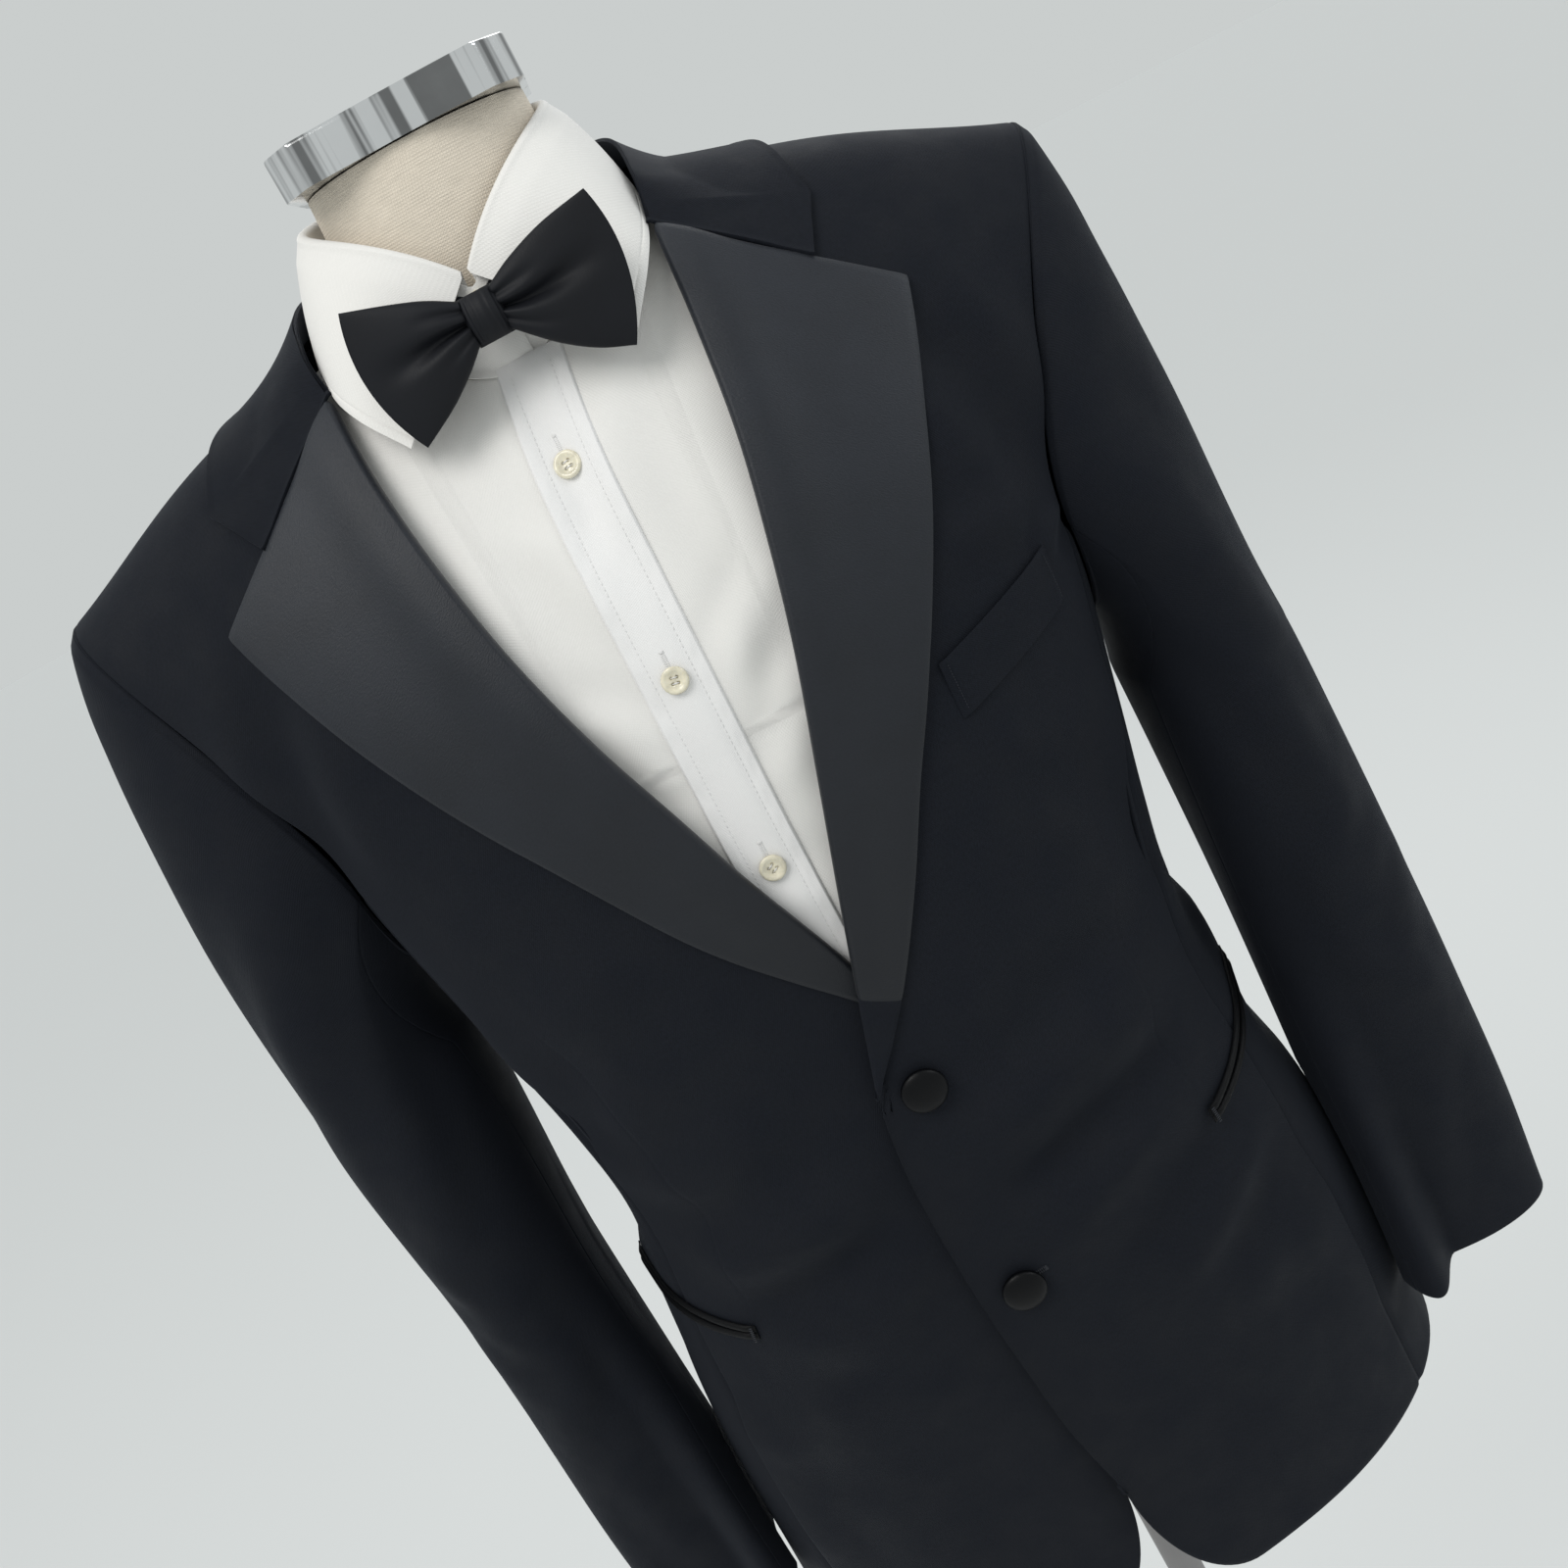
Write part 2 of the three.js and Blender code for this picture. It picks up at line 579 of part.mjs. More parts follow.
function onFront(x, z, out) {
  const p = frontAt(x, z);
  return [p[0], p[1] - out, p[2]];
}
function onBack(x, z, out) {
  const s = shareAt(x, z, true);
  const p = upperPoint(x / armholeX(s), s, true);
  return [p[0], p[1] + out * 0.7, p[2] + out * 0.7];
}

// Top collar of the jacket: neck seam, fold and outer edge, from the wearer's left gorge round the back
const COLLAR_UNDER = 2.7;
const COLLAR_SWELL = 4;

// Height of the shoulder over a point of its plan
function shoulderZ(x, y) {
  const back = y > RIDGE_Y;
  let lo = 0;
  let hi = 1;
  for (let i = 0; i < 20; i += 1) {
    const s = (lo + hi) / 2;
    const at = upperPoint(Math.abs(x) / armholeX(s), s, back)[1];
    if (back ? at > y : at < y) lo = s;
    else hi = s;
  }
  return upperPoint(Math.abs(x) / armholeX(lo), lo, back)[2];
}
const collarFold = through(bothSides([
  onFront(GORGE_IN.x - 1, GORGE_IN.z + 2, 3.2),
  [76, -32, 1503],
  [74, 8, 1525],
  [53, 52, 1531],
  [0, 75, 1532],
]));
const collarEdge = through(bothSides([
  onFront(NOTCH.x + 0.6, NOTCH.z + 1.0, COLLAR_UNDER),
  onFront(COLLAR_CORNER.x, COLLAR_CORNER.z, COLLAR_UNDER),
  [126, RIDGE_Y, ridgeZ(126) + COLLAR_UNDER],
  onBack(80, 1484, COLLAR_UNDER + 1),
  onBack(0, 1483, COLLAR_UNDER + 1),
]));
const collarSeam = through(bothSides([
  onFront(GORGE_IN.x + 3, GORGE_IN.z + 2, -2.4),
  [79.5, -22, 1494],
  [80.8, 8, 1503],
  [58, 47, 1503],
  [0, 65.3, 1503],
]));
const COLLAR_WAYS = [0, 0.06, 0.125, 0.19, 0.25, 0.31, 0.375, 0.44, 0.5];
const COLLAR_ROUND = [...COLLAR_WAYS, ...COLLAR_WAYS.slice(0, -1).reverse().map((t) => 1 - t)];
function collarPlace(u, v) {
  if (v < 0) return mix(collarFold(u), collarSeam(u), -v);
  const p = mix(collarFold(u), collarEdge(u), v);
  p[2] += COLLAR_SWELL * Math.sin(Math.PI * v) * (1 - v) * bell(u, 0.5, 0.36);
  if (v > 0.2) p[2] = Math.max(p[2], shoulderZ(p[0], p[1]) + COLLAR_UNDER);
  return p;
}
wall("jacket_collar", collarPlace, COLLAR_ROUND, [0, 0.12, 0.35, 0.68, 1], WOOL / 2, -WOOL / 2, wool());

// Buttons: a domed disc facing forwards
function addButton(name, profile, x, y, z, lean, material) {
  const points = profile.map(([radius, high]) => new THREE.Vector2(radius, high));
  const geometry = new THREE.LatheGeometry(points, 16);
  const button = new THREE.Mesh(geometry, material);
  button.name = name;
  button.rotation.x = Math.PI - lean;
  button.position.set(x, y, z);
  tuxedo.add(button);
}
function domeProfile({ radius, high }) {
  const rim = high * 0.4;
  const crown = steps(4).map((t) => {
    const turn = (t * Math.PI) / 2;
    return [radius * Math.cos(turn), rim + (high - rim) * Math.sin(turn)];
  });
  crown[crown.length - 1][0] = 0;
  return [[0, 0], [radius * 0.8, 0], [radius, rim * 0.5], ...crown];
}
const BUTTON_OFF = 0.5;
function frontLean(z, reach = 5) {
  return Math.atan2(frontAt(0, z + reach)[1] - frontAt(0, z - reach)[1], 2 * reach);
}
JACKET_BUTTON.places.forEach(({ x, z }, i) => {
  const y = frontAt(x, z)[1] - lapOffset(1, x, z) - BUTTON_OFF;
  const name = `jacket_button_${["upper", "lower"][i]}`;
  addButton(name, domeProfile(JACKET_BUTTON), x, y, z, frontLean(z), tieSatin());
});

// Breast welt and the two jets of each hip pocket, on the fronts
function weltPlace(u, v) {
  const x = WELT.x + WELT.width * u;
  return frontAt(x, WELT.z - WELT.high / 2 + WELT.rise * u + WELT.high * v);
}
const TRIM_OFF = 0.7;
wall("breast_welt", weltPlace, steps(4), steps(2), TRIM_OFF + WELT.thick, TRIM_OFF, wool());
for (const side of [1, -1]) {
  for (const jet of [1, -1]) {
    const place = (u, v) => {
      const middle = lerp(HIP_POCKET.frontZ, HIP_POCKET.backZ, u);
      const low = jet > 0 ? SEAM_GAP / 2 : -SEAM_GAP / 2 - HIP_POCKET.high;
      const z = middle + low + v * HIP_POCKET.high;
      const p = sectionPoint(TRUNK, z, lerp(HIP_POCKET.frontAngle, HIP_POCKET.backAngle, u));
      return [side * p[0], p[1], p[2]];
    };
    const name = `hip_jet_${jet > 0 ? "upper" : "lower"}_${side > 0 ? "left" : "right"}`;
    wall(name, place, steps(5), steps(1), TRIM_OFF + HIP_POCKET.thick, TRIM_OFF, satin(), side);
  }
}

// Shirt body inside the jacket: fronts to the side seams, back between them
const SHIRT_ARM_Z = 1225;
const SHIRT_CHEST_ANGLE = 62;
const SHIRT_NECK = { x: 60, frontZ: 1462, backY: 60 };
function shirtSideAngle(z) {
  return lerp(90, SHIRT_CHEST_ANGLE, ease(SHIRT_ARM_Z, CHEST_Z, z));
}
const shirtShare = sectionPoint(TRUNK, CHEST_Z, SHIRT_CHEST_ANGLE)[0] / ARMHOLE_X;
function shirtNeckShare(x, back) {
  const t = clamp(Math.abs(x) / SHIRT_NECK.x, 0, 1);
  if (back) {
    const neckY = RIDGE_Y + (SHIRT_NECK.backY - RIDGE_Y) * Math.sqrt(1 - t * t);
    let lo = 0;
    let hi = 1;
    for (let i = 0; i < 20; i += 1) {
      const s = (lo + hi) / 2;
      if (upperPoint(x / armholeX(s), s, true)[1] > neckY) lo = s;
      else hi = s;
    }
    return lo;
  }
  return lerp(shareAt(0, SHIRT_NECK.frontZ, false), 1, 1 - Math.sqrt(1 - t ** 2.4));
}
const SHIRT_SPREAD = 0.2;
const SHIRT_COLUMNS = [0, 0.1, 0.2, 0.3, 0.42, 0.6, 0.8, 1];
const SHIRT_ROWS = [0, 0.25, 0.5, 0.7, 0.85, 1, 1.2, 1.4, 1.6, 1.8, 2];
function shirtPlace(side, back) {
  const middle = SEAM_GAP / 2;
  const spread = back ? SHIRT_SPREAD : -SHIRT_SPREAD;
  return (u, v) => {
    if (v <= 1) {
      const z = lerp(SHIRT_HEM_Z, CHEST_Z, v);
      const angle = lerp(middle / 2, shirtSideAngle(z), u);
      const p = sectionPoint(TRUNK, z, back ? 180 - angle : angle);
      return [side * p[0], p[1] + spread * ease(0.9, 1, u), p[2]];
    }
    const end = shirtShare * TIP_X;
    const top = shirtNeckShare(lerp(middle, end, u), back);
    const s = (v - 1) * top;
    const p = upperPoint(lerp(middle / ARMHOLE_X, shirtShare, u), s, back);
    return [side * p[0], p[1] + spread, p[2]];
  };
}
const shirtIn = SHIRT_FACE - SHIRTING;
for (const side of [1, -1]) {
  const name = `shirt_front_${side > 0 ? "left" : "right"}`;
  wall(name, shirtPlace(side, false), SHIRT_COLUMNS, SHIRT_ROWS, SHIRT_FACE, shirtIn, cotton(), side);
}
const SHIRT_BACK_COLUMNS = [...SHIRT_COLUMNS.map((u) => -u).reverse().slice(0, -1), ...SHIRT_COLUMNS];
const shirtBackHalf = shirtPlace(1, true);
function shirtBackPlace(u, v) {
  const p = shirtBackHalf(Math.abs(u), v);
  return [Math.sign(u) * Math.max(p[0] - SEAM_GAP * (1 - Math.abs(u)), 0), p[1], p[2]];
}
wall("shirt_back", shirtBackPlace, SHIRT_BACK_COLUMNS, SHIRT_ROWS, SHIRT_FACE, shirtIn, cotton(), -1);

// Shirt front band over the join of the fronts, with its buttons
const PLACKET_TOP_Z = 1452;
const PLACKET_OFF = 0.7;
const PLACKET_THICK = 1.0;
function placketPlace(u, v) {
  const x = lerp(-PLACKET_HALF, PLACKET_HALF, u);
  return frontAt(x, lerp(SHIRT_HEM_Z, PLACKET_TOP_Z, v));
}
const placketIn = SHIRT_FACE + PLACKET_OFF;
const placketOut = placketIn + PLACKET_THICK;
const PLACKET_ROWS = [...steps(9, 0, 0.7).slice(0, -1), ...steps(11, 0.7, 1)];
wall("shirt_placket", placketPlace, steps(2), PLACKET_ROWS, placketOut, placketIn, cotton());
const SHIRT_BUTTON_OFF = 0.35;
SHIRT_BUTTON.places.forEach((z, i) => {
  const y = frontAt(0, z)[1] - placketOut - SHIRT_BUTTON_OFF;
  addButton(`shirt_button_${i + 1}`, domeProfile(SHIRT_BUTTON), 0, y, z, frontLean(z), pearl());
});

// Shirt collar: a band round the neck and a fall over it; the angle runs from the front middle
const BAND = { x: 57.5, front: 62, back: 58 };
const FOLD = { low: 1492, rise: 56, quick: 48 };
const foldZ = (angle) => FOLD.low + FOLD.rise * (1 - Math.exp(-Math.abs(angle) / FOLD.quick));
const BAND_FOOT = { frontZ: 1455.9, backZ: 1503.7, from: -12, to: 104 };
function bandFootZ(angle) {
  return lerp(BAND_FOOT.frontZ, BAND_FOOT.backZ, ease(BAND_FOOT.from, BAND_FOOT.to, Math.abs(angle)));
}
function neckRing(angle, out, z) {
  const depth = Math.cos(angle * RAD) > 0 ? BAND.front : BAND.back;
  return [
    (BAND.x + out) * Math.sin(angle * RAD),
    -(depth + out) * Math.cos(angle * RAD),
    z,
  ];
}
const BAND_OPEN = 1;
const BAND_BELOW_FOLD = 3;
const BAND_ROUND = steps(24, BAND_OPEN, 360 - BAND_OPEN);
function bandPlace(angle, v) {
  const turn = angle > 180 ? angle - 360 : angle;
  return neckRing(angle, 0, lerp(bandFootZ(turn), foldZ(turn) - BAND_BELOW_FOLD, v));
}
wall("shirt_collar_band", bandPlace, BAND_ROUND, steps(2), 0, -SHIRTING, cotton());

const leafEdge = through([
  [50, -79, 1448],
  [63, -66, 1466],
  [70, -44, 1481],
  [71, -8, 1500],
  [53, 43, 1511],
  [0, 63.5, 1513],
]);
const LEAF_ROUND = [0, 0.05, 0.12, 0.2, 0.28, 0.36, 0.44, 0.52, 0.6, 0.7, 0.8, 0.9, 1];
const LEAF_START = 2;
const LEAF_OUT = 1.4;
const LEAF_OFF = 0.7;
const LEAF_TURN = 0.15;
function leafPlace(side, round, v) {
  const angle = lerp(LEAF_START, 180, Math.max(round, 0) ** 1.15);
  const fold = neckRing(angle, LEAF_OFF, foldZ(angle) + 0.3);
  const edge = leafEdge(round);
  const turn = Math.min(v / LEAF_TURN, 1);
  const p = mix(fold, edge, v);
  const x = p[0] + LEAF_OUT * Math.sin(angle * RAD) * turn;
  return [side * x, p[1] - LEAF_OUT * Math.cos(angle * RAD) * turn, p[2]];
}
const LEAF_COLUMNS = [...LEAF_ROUND.slice(0, -1), ...LEAF_ROUND.map((t) => 2 - t).reverse()];
function shirtCollarPlace(u, v) {
  return u <= 1 ? leafPlace(1, u, v) : leafPlace(-1, 2 - u, v);
}
wall("shirt_collar", shirtCollarPlace, LEAF_COLUMNS, [0, LEAF_TURN, 0.45, 0.75, 1], SHIRTING, 0, cotton());

// Bow tie: two wings, a knot and the band under the collar fall
const KNOT = { x: 2, y: -77.5, z: 1478.5, width: 7, depth: 12, high: 9.5 };
const WING = { from: 7.6, length: 47, root: 8.5, tip: 28, swell: 6, y: -86, tipY: -87, thick: 4.5, pleat: 2.2 };
const TILT = -0.02;
function wingRing(side, t) {
  const along = WING.from + WING.length * t;
  const half = WING.root + (WING.tip - WING.root) * t ** 0.75;
  const count = 16;
  return Array.from({ length: count }, (_, i) => {
    const angle = (-side * i * 2 * Math.PI) / count;
    const up = Math.sin(angle);
    const front = Math.cos(angle);
    const bulge = WING.swell * t * t * (1 - up * up);
    const groove = WING.pleat * (1 - 0.7 * t) * bell(up, 0, 0.3);
    const x = side * (along + bulge);
    const y = lerp(WING.y, WING.tipY, t) - front * (WING.thick * (1 - 0.35 * t) - groove);
    return [KNOT.x + x, y, KNOT.z + half * up + TILT * x];
  });
}
for (const side of [1, -1]) {
  loft(`bow_wing_${side > 0 ? "left" : "right"}`, steps(6).map((t) => wingRing(side, t)), tieSatin());
}
function knotRing(t) {
  const round = Math.sqrt(1 - (1.6 * t - 0.8) ** 2);
  return Array.from({ length: 16 }, (_, i) => {
    const angle = (i * 2 * Math.PI) / 16;
    const square = (value) => Math.sign(value) * Math.abs(value) ** 0.7;
    return [
      KNOT.x + KNOT.width * square(Math.cos(angle)) * lerp(0.85, 1, round),
      KNOT.y - KNOT.depth * square(Math.sin(angle)) * round,
      KNOT.z + KNOT.high * (2 * t - 1),
    ];
  });
}
loft("bow_knot", steps(5).map((t) => knotRing(t).reverse()), tieSatin());

// The tie's own band lies on the shirt's collar band, under the fall
const TIE_BAND = { off: 1.2, thick: 0.9, high: 11, below: 27, open: 3, flare: 0.9 };
function tieBandPlace(angle, v) {
  const turn = angle > 180 ? 360 - angle : angle;
  const out = TIE_BAND.off + TIE_BAND.flare * (1 - ease(TIE_BAND.open, 24, turn));
  const middle = foldZ(turn) - lerp(FOLD.low - KNOT.z, TIE_BAND.below, ease(0, 30, turn));
  return neckRing(angle, out, middle + TIE_BAND.high * (v - 0.5));
}
const TIE_BAND_ROUND = steps(22, TIE_BAND.open, 360 - TIE_BAND.open);
wall("bow_band", tieBandPlace, TIE_BAND_ROUND, steps(1), TIE_BAND.thick, 0, tieSatin());

// Top button of the shirt, in the collar's opening
const TOP_BUTTON = { radius: 4.6, high: 1.8, z: 1484 };
const topButtonY = -BAND.front - SHIRT_BUTTON_OFF;
addButton("shirt_button_top", domeProfile(TOP_BUTTON), 0, topButtonY, TOP_BUTTON.z, 0, pearl());

// Dress form: linen torso with its neck, chrome cap, pole and base
const FORM_SIDES = 28;
const FORM_BELOW_CHEST = 6;
const formAngles = steps(FORM_SIDES, 0, 360).slice(0, -1);
const formRing = (z) => formAngles.map((angle) => sectionPoint(FORM, z, angle));
const formLevels = FORM.flatMap((row, i) => {
  const halved = i > 0 && i < FORM_BELOW_CHEST;
  return halved ? [(row.z + FORM[i - 1].z) / 2, row.z] : [row.z];
});
loft("form_torso", formLevels.map(formRing), linen());

function capRing(z, inset) {
  return Array.from({ length: 32 }, (_, i) => {
    const angle = (i * 2 * Math.PI) / 32;
    const square = (value) => Math.sign(value) * Math.abs(value) ** 0.8;
    const x = (CAP.width - inset) * square(Math.cos(angle));
    return [x, (CAP.depth - inset) * square(Math.sin(angle)), z];
  });
}
const capTop = CAP.bottom + CAP.high;
loft("neck_cap", [
  capRing(CAP.bottom, 1),
  capRing(CAP.bottom + 1, 0),
  capRing(capTop - CAP.bevel, 0),
  capRing(capTop, CAP.bevel),
], chrome());

function addLathe(name, profile, sides, material) {
  const geometry = new THREE.LatheGeometry(profile.map(([r, z]) => new THREE.Vector2(r, z)), sides);
  const mesh = new THREE.Mesh(geometry, material);
  mesh.name = name;
  mesh.rotation.x = Math.PI / 2;
  tuxedo.add(mesh);
}
const formFoot = FORM[0].z - SEAM_GAP;
const baseTop = BASE.high + BASE.dome;
const poleFoot = baseTop + SEAM_GAP;
addLathe("pole_collar", [
  [POLE.radius + SEAM_GAP, POLE.collarBottom],
  [POLE.collarRadius, POLE.collarBottom],
  [POLE.collarRadius, formFoot],
  [POLE.radius + SEAM_GAP, formFoot],
  [POLE.radius + SEAM_GAP, POLE.collarBottom],
], 24, steel());
addLathe("pole", [[0, poleFoot], [POLE.radius, poleFoot], [POLE.radius, formFoot], [0, formFoot]], 24, steel());
addLathe("base", [
  [0, 0],
  [BASE.radius, 0],
  [BASE.radius, BASE.high],
  [BASE.radius * 0.6, BASE.high + BASE.dome * 0.6],
  [POLE.radius * 2, baseTop],
  [0, baseTop],
], 40, steel());

export default tuxedo;
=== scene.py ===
"""Dinner jacket, dress shirt and bow tie on a limbless dress form, laid out as an add-on."""
import math

import bmesh
import bpy
import numpy as np
from bpy.props import FloatProperty, FloatVectorProperty, PointerProperty
from mathutils import Matrix, Vector


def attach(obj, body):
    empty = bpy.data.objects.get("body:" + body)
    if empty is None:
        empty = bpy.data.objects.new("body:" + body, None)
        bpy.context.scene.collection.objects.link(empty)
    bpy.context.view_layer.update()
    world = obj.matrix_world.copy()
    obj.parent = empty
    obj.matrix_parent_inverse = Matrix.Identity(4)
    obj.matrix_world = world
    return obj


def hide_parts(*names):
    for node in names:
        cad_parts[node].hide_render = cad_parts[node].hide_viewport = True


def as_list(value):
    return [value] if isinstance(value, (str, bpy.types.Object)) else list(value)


bl_info = {
    "name": "Tuxedo on a Dress Form",
    "version": (1, 0, 0),
    "blender": (4, 5, 0),
    "location": "View3D > Sidebar > Tuxedo",
    "description": "Builds a dinner jacket, dress shirt and bow tie on a dress form",
    "category": "Object",
}

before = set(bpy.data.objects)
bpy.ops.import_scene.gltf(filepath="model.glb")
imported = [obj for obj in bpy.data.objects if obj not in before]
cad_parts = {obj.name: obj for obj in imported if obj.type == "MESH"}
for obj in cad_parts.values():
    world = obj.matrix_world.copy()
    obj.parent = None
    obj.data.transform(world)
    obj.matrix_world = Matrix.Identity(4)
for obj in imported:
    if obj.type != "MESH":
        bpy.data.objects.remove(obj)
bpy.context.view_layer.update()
MM = 0.001
LEFT, RIGHT = 1, -1
WORD = {LEFT: "left", RIGHT: "right"}

# The tailor's block, in millimetres
HEM_Z, CHEST_Z, ARMPIT_Z, BREAK_Z = 780.0, 1290.0, 1240.0, 1122.0
SEAM_GAP = 0.3
SHIRT_FACE = -9.5
NECK_X, TIP_X, NECK_Z, TIP_Z = 84.0, 236.0, 1501.0, 1446.0
RIDGE_Y, RIDGE_ARCH, ARMHOLE_X = 8.0, 4.0, 176.0
HALF_SEAM = 115.0
SLEEVE_TOP_Z, CUFF_Z = 1195.0, 833.0
CUTAWAY_WIDTH, CUTAWAY_TOP_Z = 46.0, 865.0
ROLL_WIDTH, ROLL_CLEAR = 3.0, 2.2
GORGE_Z, LAPEL_CORNER_Z = 1478.0, 1416.0
NECK_COLUMN = 0.64


def rows(names, *values):
    """A small table, its columns by name."""
    return {name: np.array([row[i] for row in values], float) for i, name in enumerate(names.split())}


TRUNK = rows(
    "z width front back square",
    (700, 199, 122, 120, 2.0), (780, 195, 123, 119, 2.0), (860, 190, 125, 118, 2.1), (950, 182, 127, 114, 2.2),
    (1020, 170, 129, 106, 2.3), (1078, 160, 130, 97, 2.3), (1130, 163, 129, 96, 2.3), (1200, 173, 127, 103, 2.4),
    (1290, 186, 122, 113, 2.5), (1350, 190, 117, 116, 2.5),
)
FRONT_EDGE = rows("z x", (865, 0), (913, -9), (958, -13), (1002, -16), (1044, -17), (1087, -16), (1127, -11))
ROLL_LINE = {
    LEFT: rows(
        "z x", (1122, -12), (1132, -9), (1167, 1), (1208, 13), (1260, 29), (1316, 46),
        (1360, 57), (1399, 65), (1440, 70), (1480, 74), (1515, 82),
    ),
    RIGHT: rows(
        "z x", (1122, -26), (1150, -17), (1186, -6), (1214, 4), (1241, 14), (1276, 26), (1316, 40),
        (1360, 53), (1400, 62), (1440, 69), (1480, 74), (1515, 82),
    ),
}
LAPEL_EDGE = {
    LEFT: rows(
        "z x", (1124, -10), (1132, -5), (1147, 7), (1169, 23), (1206, 46), (1242, 66), (1272, 84),
        (1306, 103), (1340, 121), (1373, 136), (1398, 147), (1416, 154),
    ),
    RIGHT: rows(
        "z x", (1150, -15), (1170, 1), (1188, 17), (1208, 34), (1230, 50), (1268, 74),
        (1309, 100), (1334, 115), (1359, 129), (1387, 143), (1404, 151), (1416, 156),
    ),
}
LAPEL_FOOT = {LEFT: (1126, 1124), RIGHT: (1154, 1150)}
SLEEVE = rows(
    "z x y width depth",
    (833, 226, -29, 46, 50), (900, 228, -23, 46, 52), (980, 228, -15, 44, 55),
    (1060, 227, -8, 42, 58), (1142, 224, -1, 40, 61), (1195, 222, 4, 39, 64),
)
FORM = rows(
    "z width front back square",
    (850, 164, 100, 96, 2.1), (872, 171, 107, 101, 2.1), (950, 163, 110, 97, 2.2), (1078, 142, 113, 81, 2.2),
    (1200, 154, 110, 87, 2.3), (1290, 156, 104, 96, 2.3), (1350, 156, 96, 98, 2.2), (1395, 157, 82, 88, 2.2),
    (1430, 150, 67, 73, 2.1), (1452, 126, 50, 60, 1.8), (1470, 75, 39, 50, 1.7), (1484, 55, 46, 48, 1.9),
    (1500, 53, 49, 48, 2.0), (1520, 52, 49.5, 49, 2.0), (1550, 50.5, 48.6, 48, 2.0),
)


# Numbers

def lerp(a, b, t):
    return a + (b - a) * t


def ease(lo, hi, x):
    t = np.clip((x - lo) / (hi - lo), 0, 1)
    return t * t * (3 - 2 * t)


def bell(x, middle, spread):
    return np.exp(-(((x - middle) / spread) ** 2))


def bezier(a, b, c, d, t):
    s = 1 - t
    return s**3 * a + 3 * s * s * t * b + 3 * s * t * t * c + t**3 * d


def column(table, name, z):
    """A table's value by height, on a smooth curve through its rows."""
    zs, vs = table["z"], table[name]
    last = len(zs) - 1
    z = np.asarray(z, float)
    k = np.clip(np.searchsorted(zs, z) - 1, 0, last - 1)
    lo, hi = np.maximum(np.arange(last + 1) - 1, 0), np.minimum(np.arange(last + 1) + 1, last)
    slope = (vs[hi] - vs[lo]) / (zs[hi] - zs[lo])
    span = zs[k + 1] - zs[k]
    t = np.clip((z - zs[k]) / span, 0, 1)
    inside = (
        (2 * t**3 - 3 * t * t + 1) * vs[k] + (t**3 - 2 * t * t + t) * span * slope[k]
        + (3 * t * t - 2 * t**3) * vs[k + 1] + (t**3 - t * t) * span * slope[k + 1]
    )
    below = slope[0] * np.minimum(z - zs[0], 0)
    above = slope[last] * np.maximum(z - zs[last], 0)
    return inside + below + above


def search(rises, like):
    """Where a rising condition turns from true to false, between 0 and 1."""
    lo, hi = np.zeros_like(like), np.ones_like(like)
    for _ in range(24):
        middle = (lo + hi) / 2
        up = rises(middle)
        lo, hi = np.where(up, middle, lo), np.where(up, hi, middle)
    return (lo + hi) / 2


def through(*points):
    """A smooth curve through a few points, by a share of its way."""
    p = np.array(points, float)
    ends = np.vstack([2 * p[0] - p[1], p, 2 * p[-1] - p[-2]])

    def curve(t):
        at = np.clip(np.asarray(t, float), 0, 1) * (len(p) - 1)
        k = np.minimum(at.astype(int), len(p) - 2)
        w = (at - k)[..., None]
        p0, p1, p2, p3 = ends[k], ends[k + 1], ends[k + 2], ends[k + 3]
        m1, m2 = (p2 - p0) / 2, (p3 - p1) / 2
        near = (2 * w**3 - 3 * w**2 + 1) * p1 + (w**3 - 2 * w**2 + w) * m1
        return near + (3 * w**2 - 2 * w**3) * p2 + (w**3 - w**2) * m2

    return curve


def crowded(count, ends=0.85, lo=0.0, hi=1.0):
    """Steps from lo to hi that stand closer together at both ends."""
    t = np.linspace(0, 1, count)
    return lo + (hi - lo) * (t - ends * np.sin(2 * np.pi * t) / (2 * np.pi))


def joined(low, high):
    """Steps from 0 to 1 and on to 2, for a surface in two parts."""
    return np.concatenate([low[:-1], 1 + high])


def grid(us, vs):
    return np.meshgrid(np.asarray(us, float), np.asarray(vs, float))


def stack(x, y, z):
    return np.stack(np.broadcast_arrays(x, y, z), axis=-1)


def mirrored(side, p):
    return p * (side, 1, 1)


# The jacket's surfaces

def section(table, z, angle, offset=0.0):
    square = column(table, "square", z)
    s, c = np.sin(np.radians(angle)), np.cos(np.radians(angle))
    x = (column(table, "width", z) + offset) * np.sign(s) * np.abs(s) ** (2 / square)
    depth = np.where(c > 0, column(table, "front", z), column(table, "back", z)) + offset
    return stack(x, -np.sign(c) * depth * np.abs(c) ** (2 / square), z)


def trunk_y(x, z, back):
    square = column(TRUNK, "square", z)
    ratio = np.clip(np.abs(x) / column(TRUNK, "width", z), 0, 0.999)
    depth = column(TRUNK, "back" if back else "front", z)
    return (1 if back else -1) * depth * (1 - ratio**square) ** (1 / square)


def ridge_z(x):
    fall = (NECK_Z - TIP_Z) / (TIP_X - NECK_X)
    t = np.clip((x - NECK_X) / (TIP_X - NECK_X), 0, 1)
    outside = NECK_Z - fall * (x - NECK_X) + RIDGE_ARCH * np.sin(np.pi * t) ** 2
    return np.where(x < NECK_X, NECK_Z + fall * (NECK_X**2 - x**2) / (2 * NECK_X), outside)


def armhole_x(s):
    return ARMHOLE_X + (TIP_X - ARMHOLE_X) * ease(0, 1, s)


